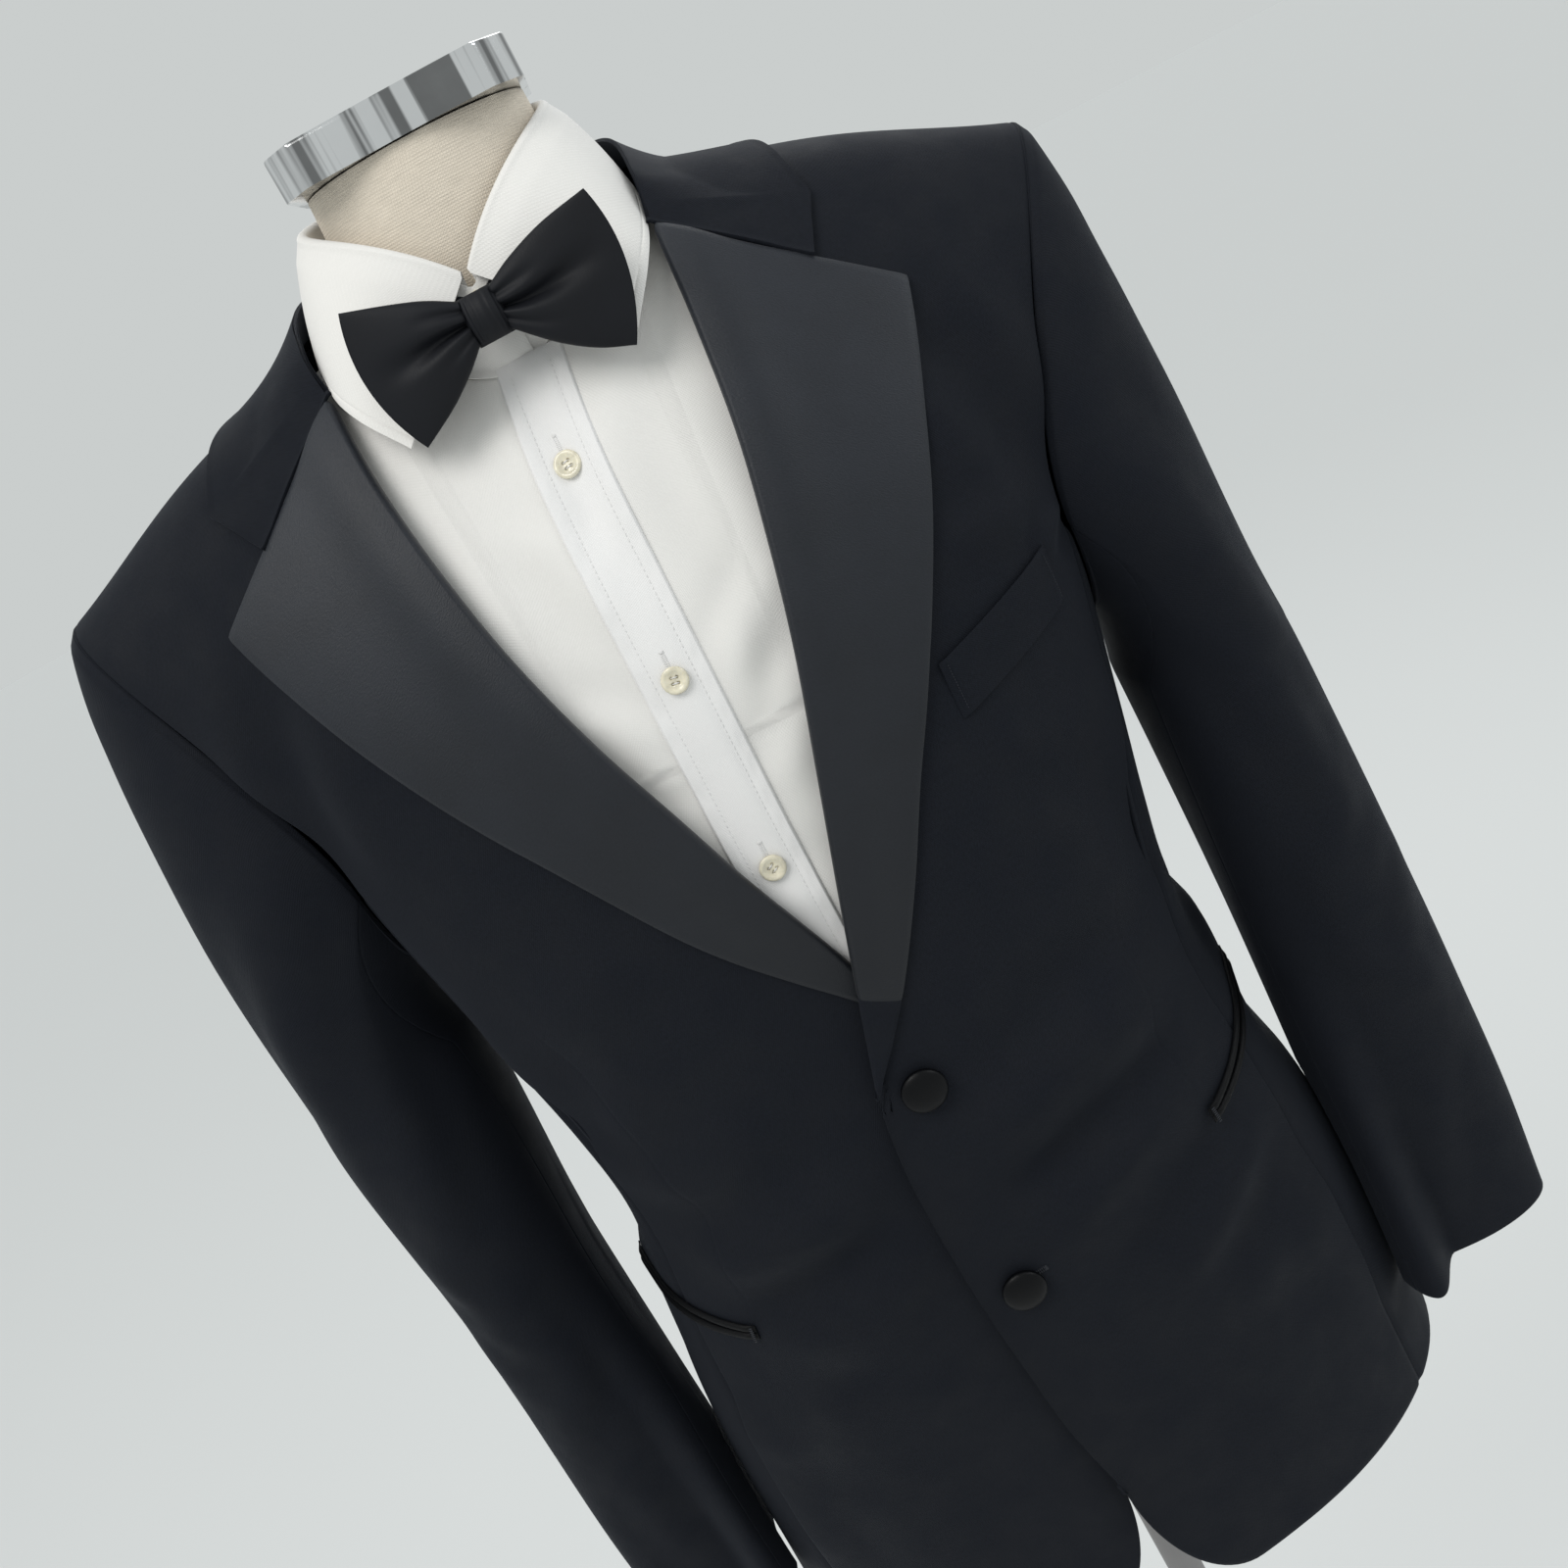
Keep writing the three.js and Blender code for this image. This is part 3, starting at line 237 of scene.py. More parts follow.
def upper(c, s, back):
    """The trunk above the chest: c from the middle to the armhole, s from the chest to the shoulder line."""
    start = trunk_y(c * ARMHOLE_X, CHEST_Z, back)
    wide = np.minimum(c * c, 1)
    top = ridge_z(np.abs(c) * TIP_X)
    lean = 5.0 if back else lerp(2, -12, wide)
    reach = lerp(66, 50, wide) if back else -lerp(74, 52, wide)
    y = bezier(start, start + lean, RIDGE_Y + reach, RIDGE_Y, s)
    z = bezier(CHEST_Z, lerp(1385, 1352, wide), top, top, s)
    return stack(c * armhole_x(s), y, z)


def share_at(x, z, back=False):
    return search(lambda s: upper(x / armhole_x(s), s, back)[..., 2] < z, x * 1.0 + 0 * z)


def front_at(x, z):
    x, z = np.broadcast_arrays(np.asarray(x, float), np.asarray(z, float))
    s = share_at(x, z)
    above = upper(x / armhole_x(s), s, False)
    low = stack(x, trunk_y(x, np.minimum(z, CHEST_Z), False), z)
    return np.where((z > CHEST_Z)[..., None], above, low)


def lap(side, x, z):
    """The wearer's left front lies over the right one below the break."""
    across = 1 - ease(20, 75, side * x)
    return (1.4 if side > 0 else -5.0) * across * (1 - ease(1165, 1250, z))


def seam_x(z):
    return lerp(0.84, 0.946, ease(HEM_Z, CHEST_Z, z)) * column(TRUNK, "width", z)


def front_hem(x):
    t = np.clip(1 - x / CUTAWAY_WIDTH, 0, 1)
    return HEM_Z + (CUTAWAY_TOP_Z - HEM_Z) * (1 - np.sqrt(1 - t * t))


def inner_x(side, z):
    edge = column(FRONT_EDGE, "x", np.maximum(z, CUTAWAY_TOP_Z)) - (side < 0) * 12 * ease(1060, BREAK_Z, z)
    roll = column(ROLL_LINE[side], "x", np.minimum(z, 1515))
    clear = (ROLL_WIDTH + ROLL_CLEAR) * ease(BREAK_Z - 10, BREAK_Z + 12, z)
    return np.where(z < BREAK_Z, edge, roll + clear)


def front_panel(side, u, v):
    """A front: u from its edge or roll to the side, v from the hem to the chest, 1, and the shoulder, 2."""
    low = np.minimum(v, 1)
    z = lerp(front_hem(u * seam_x(HEM_Z)), CHEST_Z, low)
    x = lerp(inner_x(side, z), seam_x(z) - SEAM_GAP / 2, u)
    below = stack(x, trunk_y(x, z, False), z)
    s = np.clip(v - 1, 0, 1)
    inner = np.full_like(u * 1.0 + v, 40.0)
    for _ in range(12):
        inner = inner_x(side, upper(inner / armhole_x(s), s, False)[..., 2])
    above = upper(lerp(inner, armhole_x(s), u) / armhole_x(s), s, False)
    above[..., 1] -= SEAM_GAP / 2
    p = np.where((v > 1)[..., None], above, below)
    return stack(side * p[..., 0], p[..., 1] - lap(side, side * p[..., 0], p[..., 2]), p[..., 2])


def seam_angle(z):
    share = (seam_x(z) + SEAM_GAP / 2) / column(TRUNK, "width", z)
    return np.degrees(np.arcsin(share ** (column(TRUNK, "square", z) / 2)))


def side_panel(side, u, v):
    """A side body: u from the front seam to the back seam, v from the hem to the underarm."""
    top = lerp(ARMPIT_Z, CHEST_Z, (2 * np.clip(u, 0, 1) - 1) ** 2)
    z = lerp(HEM_Z, top, v)
    edge = seam_angle(z)
    p = section(TRUNK, z, lerp(edge, 180 - edge, u))
    return mirrored(side, p)


def back_x(u, s):
    neck = NECK_X / TIP_X * armhole_x(s)
    outer = lerp(armhole_x(s), neck, u / NECK_COLUMN)
    return np.where(u <= NECK_COLUMN, outer, lerp(neck, SEAM_GAP / 2, (u - NECK_COLUMN) / (1 - NECK_COLUMN)))


def back_panel(side, u, v):
    """A back: u from the side seam to the middle, v as on a front, up to the neckline."""
    z = lerp(HEM_Z, CHEST_Z, np.minimum(v, 1))
    share = NECK_X / TIP_X
    inner = lerp(share, 0, (u - NECK_COLUMN) / (1 - NECK_COLUMN))
    wide = np.where(u <= NECK_COLUMN, lerp(1, share, u / NECK_COLUMN), inner)
    x = wide * (seam_x(z) - SEAM_GAP / 2) + (1 - wide) * SEAM_GAP / 2
    below = stack(x, trunk_y(x, z, True), z)
    t = np.clip(back_x(u, 1.0) / NECK_X, 0, 1)
    neck_y = RIDGE_Y + 60 * np.sqrt(1 - t * t)

    def below_neckline(s):
        return (upper(back_x(u, s) / armhole_x(s), s, True)[..., 1] > neck_y) | (t >= 1)

    top = search(below_neckline, u * 1.0 + 0 * v)
    s = np.clip(v - 1, 0, 1) * top
    above = upper(back_x(u, s) / armhole_x(s), s, True)
    stands = np.sqrt(1 - t * t) * ease(0.8, 1, v - 1)
    above = above + stack(0, SEAM_GAP / 2 - 1.5 * stands, 14 * stands)
    p = np.where((v > 1)[..., None], above, below)
    return mirrored(side, p)


def armhole(angle):
    """The armhole seam: 0 degrees at the shoulder tip, 90 in front, 180 under the arm, 270 behind."""
    a = np.mod(angle, 360.0)
    one = np.ones_like(a)
    front = front_panel(1, one, 2 - np.clip(a / HALF_SEAM, 0, 1))
    back = back_panel(1, 0 * one, 1 + np.clip((a - 360 + HALF_SEAM) / HALF_SEAM, 0, 1))
    under = side_panel(1, np.clip((a - HALF_SEAM) / (360 - 2 * HALF_SEAM), 0, 1), one)
    p = np.where((a <= HALF_SEAM)[..., None], front, under)
    return np.where((a >= 360 - HALF_SEAM)[..., None], back, p)


def trunk_x(y, z):
    square = column(TRUNK, "square", z)
    depth = np.where(y < 0, column(TRUNK, "front", z), column(TRUNK, "back", z))
    return column(TRUNK, "width", z) * (1 - np.clip(np.abs(y) / depth, 0, 1) ** square) ** (1 / square)


HEAD_FULLNESS = {LEFT: 0.0, RIGHT: 9.0}
SLEEVE_SLIM = {LEFT: 0.0, RIGHT: 6.0}


def sleeve_ring(side, z, angle):
    full = HEAD_FULLNESS[side] * ease(1040, SLEEVE_TOP_Z, z)
    down = ease(0.25, 1, (SLEEVE_TOP_Z - z) / (SLEEVE_TOP_Z - CUFF_Z))
    turn = np.radians(angle)
    front = np.maximum(np.sin(turn), 0) ** lerp(1, 0.6, down * ease(0.3, -0.3, np.cos(turn)))
    y = column(SLEEVE, "y", z) - column(SLEEVE, "depth", z) * (front + np.minimum(np.sin(turn), 0))
    slim = SLEEVE_SLIM[side] * ease(1170, 1040, z)
    x = column(SLEEVE, "x", z) + full / 2 + (column(SLEEVE, "width", z) + full / 2 - slim) * np.cos(turn)
    y = y + down * front * (30 * ease(188, 211, x) - 12 * bell(x, 183, 11))
    return stack(np.maximum(x, trunk_x(y, z) + 4.5), y, z)


def sleeve(side, angle, v):
    """A sleeve's inner face: v from the armhole over the head (1) and down to the cuff (2)."""
    ring = sleeve_ring(side, lerp(SLEEVE_TOP_Z, CUFF_Z, np.clip(v - 1, 0, 1)), angle)
    start, end = armhole(angle), sleeve_ring(side, SLEEVE_TOP_Z + 0 * angle, angle)
    s, c = np.sin(np.radians(angle)), np.cos(np.radians(angle))
    full = stack(HEAD_FULLNESS[side] * np.maximum(c, 0), 0, 0)

    def handle(top, sides, under):
        front_back = np.stack([s * s, s * np.abs(s), s * s], axis=-1)
        main = np.where((c > 0)[..., None], np.array(top, float), np.array(under, float))
        return main * (c * c)[..., None] + np.array(sides, float) * front_back

    leave = start + handle((14, 0, -40), (16, -9, -28), (6, 0, -3)) + full
    arrive = end + handle((-8, 0, 70), (0, 0, 50), (5, 0, 20)) + full
    w = np.clip(v, 0, 1)[..., None]
    head = bezier(start, leave, arrive, end, w)
    under = ease(0.15, 0.6, -c) * (1 - np.clip(v, 0, 1))
    head = head + stack(0.2 + 0.6 * under, 0 * under, 1.2 * under)
    p = np.where((v > 1)[..., None], ring, head)
    return mirrored(side, p)


def shoulder_z(x, y):
    back = y > RIDGE_Y

    def lies(s, behind):
        return upper(np.abs(x) / armhole_x(s), s, behind)

    front_s = search(lambda s: lies(s, False)[..., 1] < y, x * 1.0)
    back_s = search(lambda s: lies(s, True)[..., 1] > y, x * 1.0)
    return np.where(back, lies(back_s, True)[..., 2], lies(front_s, False)[..., 2])


# The shirt's surfaces

SHIRT_HEM_Z, PLACKET_TOP_Z, PLACKET_HALF, STITCH_IN = 880.0, 1463.0, 14.6, 6.0
SHIRT_BUTTONS = ((1415, 0.2), (1325, -0.15), (1237, 0.5))  # each height, and how far it is turned
PLACKET_PATH = rows("z x", (880, -3), (1244, -3), (1310, -1.5), (1364, -0.5), (1410, 0.5), (1440, 3), (1463, 6))
BAND = {"x": 57.5, "front": 62.0, "back": 58.0}
SHIRT_NECK = {"x": 60.0, "front_z": 1462.0, "back_y": 60.0}


def shirt_panel(side, u, v, back):
    """Half of the shirt's front or back: u from the middle to the side, v as on the jacket."""
    z = lerp(SHIRT_HEM_Z, CHEST_Z, np.minimum(v, 1))
    limit = lerp(90, 62, ease(1225, CHEST_Z, z))
    angle = lerp(SEAM_GAP / 4, limit, u)
    below = section(TRUNK, z, 180 - angle if back else angle)
    spread = 0.2 if back else -0.2
    below[..., 1] += spread * ease(0.9, 1, u)
    widest = float(section(TRUNK, CHEST_Z, 62.0)[0]) / ARMHOLE_X
    x = lerp(SEAM_GAP / 2, widest * TIP_X, u)
    t = np.clip(np.abs(x) / SHIRT_NECK["x"], 0, 1)
    if back:
        neck_y = RIDGE_Y + (SHIRT_NECK["back_y"] - RIDGE_Y) * np.sqrt(1 - t * t)
        top = search(lambda s: upper(x / armhole_x(s), s, True)[..., 1] > neck_y, x)
    else:
        low = share_at(np.array([0.0]), np.array([SHIRT_NECK["front_z"]]))[0]
        top = lerp(low, 1, 1 - np.sqrt(1 - t**2.4))
    s = np.clip(v - 1, 0, 1) * top
    above = upper(lerp(SEAM_GAP / 2 / ARMHOLE_X, widest, u), s, back)
    above[..., 1] += spread
    p = np.where((v > 1)[..., None], above, below)
    return mirrored(side, p)


def fold_z(angle):
    return 1492 + 56 * (1 - np.exp(-np.abs(angle) / 48))


def band_foot_z(angle):
    return lerp(1455.9, 1503.7, ease(-12, 104, np.abs(angle)))


def neck_ring(angle, out, z):
    turn = np.radians(angle)
    depth = np.where(np.cos(turn) > 0, BAND["front"], BAND["back"])
    return stack((BAND["x"] + out) * np.sin(turn), -(depth + out) * np.cos(turn), z)


LEAF_EDGE = through(
    (50, -79, 1448), (63, -66, 1466), (70, -44, 1481), (71, -8, 1500), (53, 43, 1511), (0, 63.5, 1513),
)


# Cloth: grids of points, laid, creased and sewn

def normals(p, turn=1):
    across, along = np.gradient(p, axis=1), np.gradient(p, axis=0)
    n = np.cross(across, along)
    return turn * n / np.maximum(np.linalg.norm(n, axis=-1, keepdims=True), 1e-9)


def lift(p, turn, height):
    return p + normals(p, turn) * np.asarray(height)[..., None]


def creases(table, x, z):
    """Soft ridges, or troughs where high is negative, each along a line with its own width and bow."""
    total = np.zeros_like(x * 1.0 + z)
    for x0, z0, x1, z1, width, high, bow in table:
        dx, dz = x1 - x0, z1 - z0
        length = math.hypot(dx, dz)
        along = ((x - x0) * dx + (z - z0) * dz) / length**2
        across = ((x - x0) * dz - (z - z0) * dx) / length + 4 * bow * along * (1 - along)
        ends = ease(-0.12, 0.32, along) * (1 - ease(0.68, 1.12, along))
        total += high * ends * (bell(across, 0, width) - 0.45 * bell(np.abs(across), 1.9 * width, 0.9 * width))
    return total


def reach(p, axis):
    """How far each point is along its row or column, in millimetres."""
    step = np.linalg.norm(np.diff(p, axis=axis), axis=-1)
    return np.insert(np.cumsum(step, axis=axis), 0, 0, axis=axis)


def seam_dip(p, sides, deep=0.9, wide=1.8):
    """Cloth dips where it runs into a seam; sides are some of left, right, low and high of the grid."""
    across, along = reach(p, 1), reach(p, 0)
    gaps = {"left": across, "right": across[:, -1:] - across, "low": along, "high": along[-1:] - along}
    return sum(-deep * bell(gaps[name], 0, wide) for name in sides)


def turned(p, turn, where, radius, depth, rounds=6):
    """Rows added past an edge of the grid, where the cloth folds under and runs back inside."""
    flip = p if where == "high" else p[::-1]
    edge, before = flip[-1], flip[-3]
    ahead = edge - before
    ahead /= np.linalg.norm(ahead, axis=-1, keepdims=True)
    inward = -normals(p, turn)[-2 if where == "high" else 1]
    added = []
    for i in range(1, rounds + 1):
        a = np.pi * i / rounds
        added.append(edge + radius * (np.sin(a) * ahead + (1 - np.cos(a)) * inward))
    for share in (0.35, 0.7, 1.0):
        added.append(edge + 2 * radius * inward - share * depth * ahead)
    whole = np.vstack([flip, np.array(added)])
    return whole if where == "high" else whole[::-1]


class Laid:
    """A finished cloth face that trim can be laid on, found by x and z."""

    def __init__(self, points, turn):
        self.points, self.normals = points, normals(points, turn)

    def spot(self, x, z, out=0.0):
        d = (self.points[..., 0] - x) ** 2 + (self.points[..., 2] - z) ** 2
        j, i = np.unravel_index(np.argmin(d), d.shape)
        j, i = min(max(j, 1), d.shape[0] - 2), min(max(i, 1), d.shape[1] - 2)
        p, n = self.points[j, i], self.normals[j, i]
        y = p[1] - (n[0] * (x - p[0]) + n[2] * (z - p[2])) / n[1]
        return Vector((x, y, z)) + Vector(n) * out, Vector(n)

    def spots(self, x, z, out):
        flat = [self.spot(*at)[0] for at in zip(x.ravel(), z.ravel(), out.ravel())]
        return np.array([tuple(q) for q in flat]).reshape(*x.shape, 3)


LAID = {}


def grid_mesh(name, points, turn, finishes, pick=None, closed=False):
    """A mesh from a grid of points, with the cut's own measure as its UV map; pick is each row's finish."""
    high, wide = points.shape[:2]
    bm = bmesh.new()
    bmesh.ops.create_grid(bm, x_segments=wide - 1, y_segments=high - 1, size=1.0)
    bm.verts.index_update()
    across, along = reach(points, 1), reach(points, 0)
    middle = along[:, wide // 2]
    layer = bm.loops.layers.uv.new("cut")
    spot = {}
    for vert in bm.verts:
        i = round((vert.co.x + 1) / 2 * (wide - 1))
        j = round((vert.co.y + 1) / 2 * (high - 1))
        spot[vert.index] = (j, i)
        vert.co = points[j, i] * MM
    for face in bm.faces:
        face.smooth = True
        if pick is not None:
            face.material_index = int(pick[min(spot[loop.vert.index][0] for loop in face.loops)])
        for loop in face.loops:
            j, i = spot[loop.vert.index]
            loop[layer].uv = (across[j, i] * MM, middle[j] * MM)
    if turn < 0:
        bmesh.ops.reverse_faces(bm, faces=bm.faces)
    if closed:
        bmesh.ops.remove_doubles(bm, verts=bm.verts, dist=1e-6)
        bmesh.ops.holes_fill(bm, edges=[e for e in bm.edges if e.is_boundary], sides=0)
    return finish_mesh(name, bm, finishes)


def finish_mesh(name, bm, finishes):
    mesh = bpy.data.meshes.new(name)
    bm.to_mesh(mesh)
    bm.free()
    for material in finishes:
        mesh.materials.append(material)
    piece = bpy.data.objects.new(name, mesh)
    bpy.context.scene.collection.objects.link(piece)
    return piece


def rounded(piece, width, degrees):
    """Edges sharper than so many degrees are rounded to a width in metres."""
    edge = piece.modifiers.new("rounded edge", "BEVEL")
    edge.width, edge.segments, edge.limit_method, edge.angle_limit = width, 2, "ANGLE", math.radians(degrees)


def settle(piece, slot, *nodes):
    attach(piece, "root")
    if nodes:
        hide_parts(*nodes)
    return piece


def cut_size(points):
    """The flat width, length and area of a grid of cloth, in metres."""
    width = reach(points, 1)[:, -1].max() * MM
    length = max(reach(points, 0)[-1].max() * MM, 0.0105)
    across, along = np.gradient(points, axis=1), np.gradient(points, axis=0)
    area = np.linalg.norm(np.cross(across, along), axis=-1)
    area[0] /= 2
    area[-1] /= 2
    area[:, 0] /= 2
    area[:, -1] /= 2
    return (width, length), min(float(area.sum()) * MM * MM, width * length)


# Each kind of cloth: how its pieces' names end, its slot, and the panel's size that is its thickness
CLOTHS = {
    "wool": ("cloth", "wool", "wool"),
    "satin": ("satin", "satin", "satin"),
    "piping": ("piping", "satin", "satin"),
    "tie": ("satin", "tie_satin", "satin"),
    "cotton": ("cotton", "shirting", "cotton"),
    "placket": ("cotton", "shirting", "cotton"),
}


def sew(node, kind, points, turn, thick=None, pick=None):
    """One cut piece: its face is the grid, its thickness goes inwards, its raw edges are rounded."""
    ending, slot, size = CLOTHS[kind]
    thick = thick or getattr(bpy.context.scene.tuxedo_sizes, size) / MM
    finishes = [finish(kind)] if pick is None else [finish(kind), finish("wool")]
    piece = grid_mesh(f"{node}_{ending}", points, turn, finishes, pick)
    wall = piece.modifiers.new("thickness", "SOLIDIFY")
    wall.thickness, wall.offset, wall.use_even_offset = thick * MM, -1.0, False
    rounded(piece, 0.3 * thick * MM, 62)
    settle(piece, slot, node)
    flat, area = cut_size(points)


# Finishes

class Level:
    """A socket in a material; arithmetic on it adds Math nodes."""

    def __init__(self, finish, socket):
        self.finish, self.socket = finish, socket

    def math(self, operation, *others):
        values = dict(enumerate((self, *others)))
        return self.finish.node("ShaderNodeMath", {"operation": operation}, values)

    def __add__(self, other):
        return self.math("ADD", other)

    def __sub__(self, other):
        return self.math("SUBTRACT", other)

    def __mul__(self, other):
        return self.math("MULTIPLY", other)


class Finish:
    """A material being made: its nodes, and the shader that they feed."""

    def __init__(self, name, **constants):
        self.material = bpy.data.materials.new(name)
        self.material.use_nodes = True
        self.tree = self.material.node_tree
        self.shader = self.tree.nodes["Principled BSDF"]
        for key, value in constants.items():
            self.shader.inputs[key.replace("_", " ")].default_value = value

    def node(self, kind, settings=None, values=None, output=0):
        node = self.tree.nodes.new(kind)
        for key, value in (settings or {}).items():
            setattr(node, key, value)
        for key, value in (values or {}).items():
            self.feed(node.inputs[key], value)
        return Level(self, node.outputs[output])

    def feed(self, socket, value):
        if isinstance(value, Level):
            self.tree.links.new(value.socket, socket)
        else:
            socket.default_value = value

    def surface(self, **values):
        for key, value in values.items():
            self.feed(self.shader.inputs[key.replace("_", " ")], value)
        return self.material

    def place(self):
        return self.node("ShaderNodeTexCoord", output="Object")

    def cut(self):
        return self.node("ShaderNodeUVMap", {"uv_map": "cut"})

    def axis(self, vector, number):
        return self.node("ShaderNodeSeparateXYZ", None, {0: vector}, output=number)

    def scaled(self, vector, x, y, z=1.0):
        return self.node("ShaderNodeVectorMath", {"operation": "MULTIPLY"}, {0: vector, 1: (x, y, z)})

    def noise(self, vector, scale, detail=2.0, rough=0.5):
        values = {"Vector": vector, "Scale": scale, "Detail": detail, "Roughness": rough}
        return self.node("ShaderNodeTexNoise", None, values)

    def range(self, value, lo, hi, to_lo=0.0, to_hi=1.0):
        return self.node("ShaderNodeMapRange", None, {0: value, 1: lo, 2: hi, 3: to_lo, 4: to_hi})

    def ridges(self, value, pitch):
        """A smooth wave from 0 to 1 with one crest each pitch."""
        return (value * (2 * math.pi / pitch)).math("SINE") * 0.5 + 0.5

    def mix(self, factor, one, two):
        return self.node("ShaderNodeMix", {"data_type": "RGBA"}, {0: factor, 6: one, 7: two}, output=2)

    def bump(self, height, distance, strength=1.0):
        return self.node("ShaderNodeBump", None, {"Height": height, "Distance": distance, "Strength": strength})


def rgba(color, gain=1.0):
    return (*(min(c * gain, 1.0) for c in color), 1.0)


def wool_finish(colors):
    f = Finish(
        "wool twill", Specular_IOR_Level=0.18,
        Sheen_Weight=0.035, Sheen_Roughness=0.4, Sheen_Tint=(0.6, 0.68, 0.85, 1),
    )
    cut = f.cut()
    rib = f.ridges(f.axis(cut, 0) + f.axis(cut, 1), 0.0011)
    fibre = f.noise(f.scaled(cut, 1400, 500), 1.0, 3.0, 0.6)
    nap = f.noise(f.place(), 38.0, 4.0, 0.6)
    melange = f.range(fibre, 0.3, 0.7)
    color = f.mix(melange * 0.6 + nap * 0.4, rgba(colors.wool, 0.6), rgba(colors.wool, 1.45))
    height = f.bump(rib * 0.35 + fibre * 0.65, 0.00022, 0.8)
    return f.surface(Base_Color=color, Roughness=f.range(nap, 0.3, 0.7, 0.72, 0.9), Normal=height)


def satin_finish(colors, name="lapel satin", key="satin", rough=(0.4, 0.52), grain=1.0, shine=0.32, sheen=0.1):
    """Satin with painted shade: full colour at the collar, darkening by height to about half of it from the lapels'
    foot down, in place of the overhead light falling off lower down.
    """
    color = getattr(colors, key)
    f = Finish(name, Specular_IOR_Level=shine, Sheen_Weight=sheen, Sheen_Roughness=0.35)
    thread = f.noise(f.scaled(f.cut(), 700, 1500), 1.0, 3.0, 0.65)
    broad = f.noise(f.place(), 26.0, 3.0, 0.55)
    tone = f.range(thread, 0.32, 0.68) * 0.6 + f.range(broad, 0.35, 0.65) * 0.4
    shade = f.mix(tone, rgba(color, 0.7), rgba(color, 1.3))
    # painted shade: below 1.44 m the colour is mixed by height toward a third of it, 80 % of the way at 1.14 m and
    # below, standing in for less light reaching lower down; the jets and covered buttons lie that low and take the
    # darkest shade
    low = f.range(f.axis(f.place(), 2), 1.14, 1.44, 0.8, 0.0)
    shade = f.mix(low, shade, rgba(color, 0.35))
    height = f.bump(thread, 0.0003 * grain, 0.8)
    return f.surface(Base_Color=shade, Roughness=f.range(thread, 0.3, 0.7, *rough), Normal=height)


def cotton_finish(colors, name, key, pitch=0.0011):
    color = getattr(colors, key)
    f = Finish(name, Specular_IOR_Level=0.25, Sheen_Weight=0.08)
    cut = f.cut()
    u, v = f.axis(cut, 0), f.axis(cut, 1)
    weave = f.ridges(u + v * 0.5, pitch) * f.ridges(v - u * 0.5, pitch)
    slub = f.noise(f.scaled(cut, 900, 260), 1.0, 3.0, 0.6)
    broad = f.noise(f.place(), 14.0, 3.0, 0.5)
    shade = f.mix(weave * 0.35 + slub * 0.35 + broad * 0.3, rgba(color, 0.9), rgba(color, 1.04))
    height = f.bump(weave + slub * 0.5, 0.00013, 0.6)
    return f.surface(Base_Color=shade, Roughness=f.range(slub, 0.3, 0.7, 0.72, 0.86), Normal=height)


def linen_finish(colors):
    f = Finish("form linen", Specular_IOR_Level=0.2, Sheen_Weight=0.15)
    cut = f.cut()
    sway = f.noise(f.scaled(cut, 30, 30), 1.0, 2.0) * 0.0016
    weave = f.ridges(f.axis(cut, 0) + sway, 0.0013) * f.ridges(f.axis(cut, 1) + sway, 0.0012)
    slub = f.noise(f.scaled(cut, 120, 1500), 1.0, 3.0, 0.6)
    tone = weave * 0.5 + f.range(slub, 0.35, 0.65) * 0.5
    shade = f.mix(tone, rgba(colors.linen, 0.84), rgba(colors.linen, 1.08))
    return f.surface(Base_Color=shade, Roughness=0.9, Normal=f.bump(weave + slub * 0.6, 0.0002, 0.7))


def chrome_finish(colors):
    f = Finish("cap chrome", Metallic=1.0)
    place = f.place()
    smear = f.noise(place, 45.0, 4.0, 0.6)
    # painted reflection: dark vertical bands in the chrome's colour stand in for the dark room it mirrors; the
    # smear noise adds a little random tone and sets the roughness
    painted_reflection_bands = f.range(f.noise(f.scaled(place, 85, 24, 1.5), 1.0, 3.0, 0.7), 0.44, 0.53)
    shade = f.mix(painted_reflection_bands * 0.85 + smear * 0.15, rgba(colors.chrome, 0.2), rgba(colors.chrome))
    return f.surface(Base_Color=shade, Roughness=f.range(smear, 0.3, 0.75, 0.05, 0.12))


def steel_finish(colors, name, gain=1.0):
    f = Finish(name, Metallic=0.85)
    place = f.place()
    brush = f.noise(f.scaled(place, 900, 900, 14), 1.0, 3.0, 0.6)
    worn = f.noise(place, 20.0, 4.0, 0.6)
    shade = f.mix(worn * 0.6 + brush * 0.4, rgba(colors.steel, 0.75 * gain), rgba(colors.steel, 1.15 * gain))
    rough = f.range(brush, 0.3, 0.7, 0.3, 0.48)
    return f.surface(Base_Color=shade, Roughness=rough, Normal=f.bump(brush, 0.00003, 0.5))


def pearl_finish(colors):
    f = Finish(
        "shirt button pearl", Coat_Weight=0.6, Coat_Roughness=0.12,
        Subsurface_Weight=0.15, Subsurface_Radius=(0.002, 0.0018, 0.0012),
    )
    cloud = f.noise(f.place(), 260.0, 3.0, 0.55)
    shade = f.mix(f.range(cloud, 0.35, 0.65), rgba(colors.pearl, 0.86), rgba(colors.pearl, 1.1))
    return f.surface(Base_Color=shade, Roughness=f.range(cloud, 0.3, 0.7, 0.22, 0.36))


def thread_finish(name, color):
    f = Finish(name)
    twist = f.noise(f.place(), 1800.0, 2.0, 0.6)
    shade = f.mix(twist, rgba(color, 0.75), rgba(color, 1.15))
    rough = f.range(twist, 0.3, 0.7, 0.55, 0.75)
    return f.surface(Base_Color=shade, Roughness=rough, Normal=f.bump(twist, 0.0001, 0.6))


FINISHES = {}


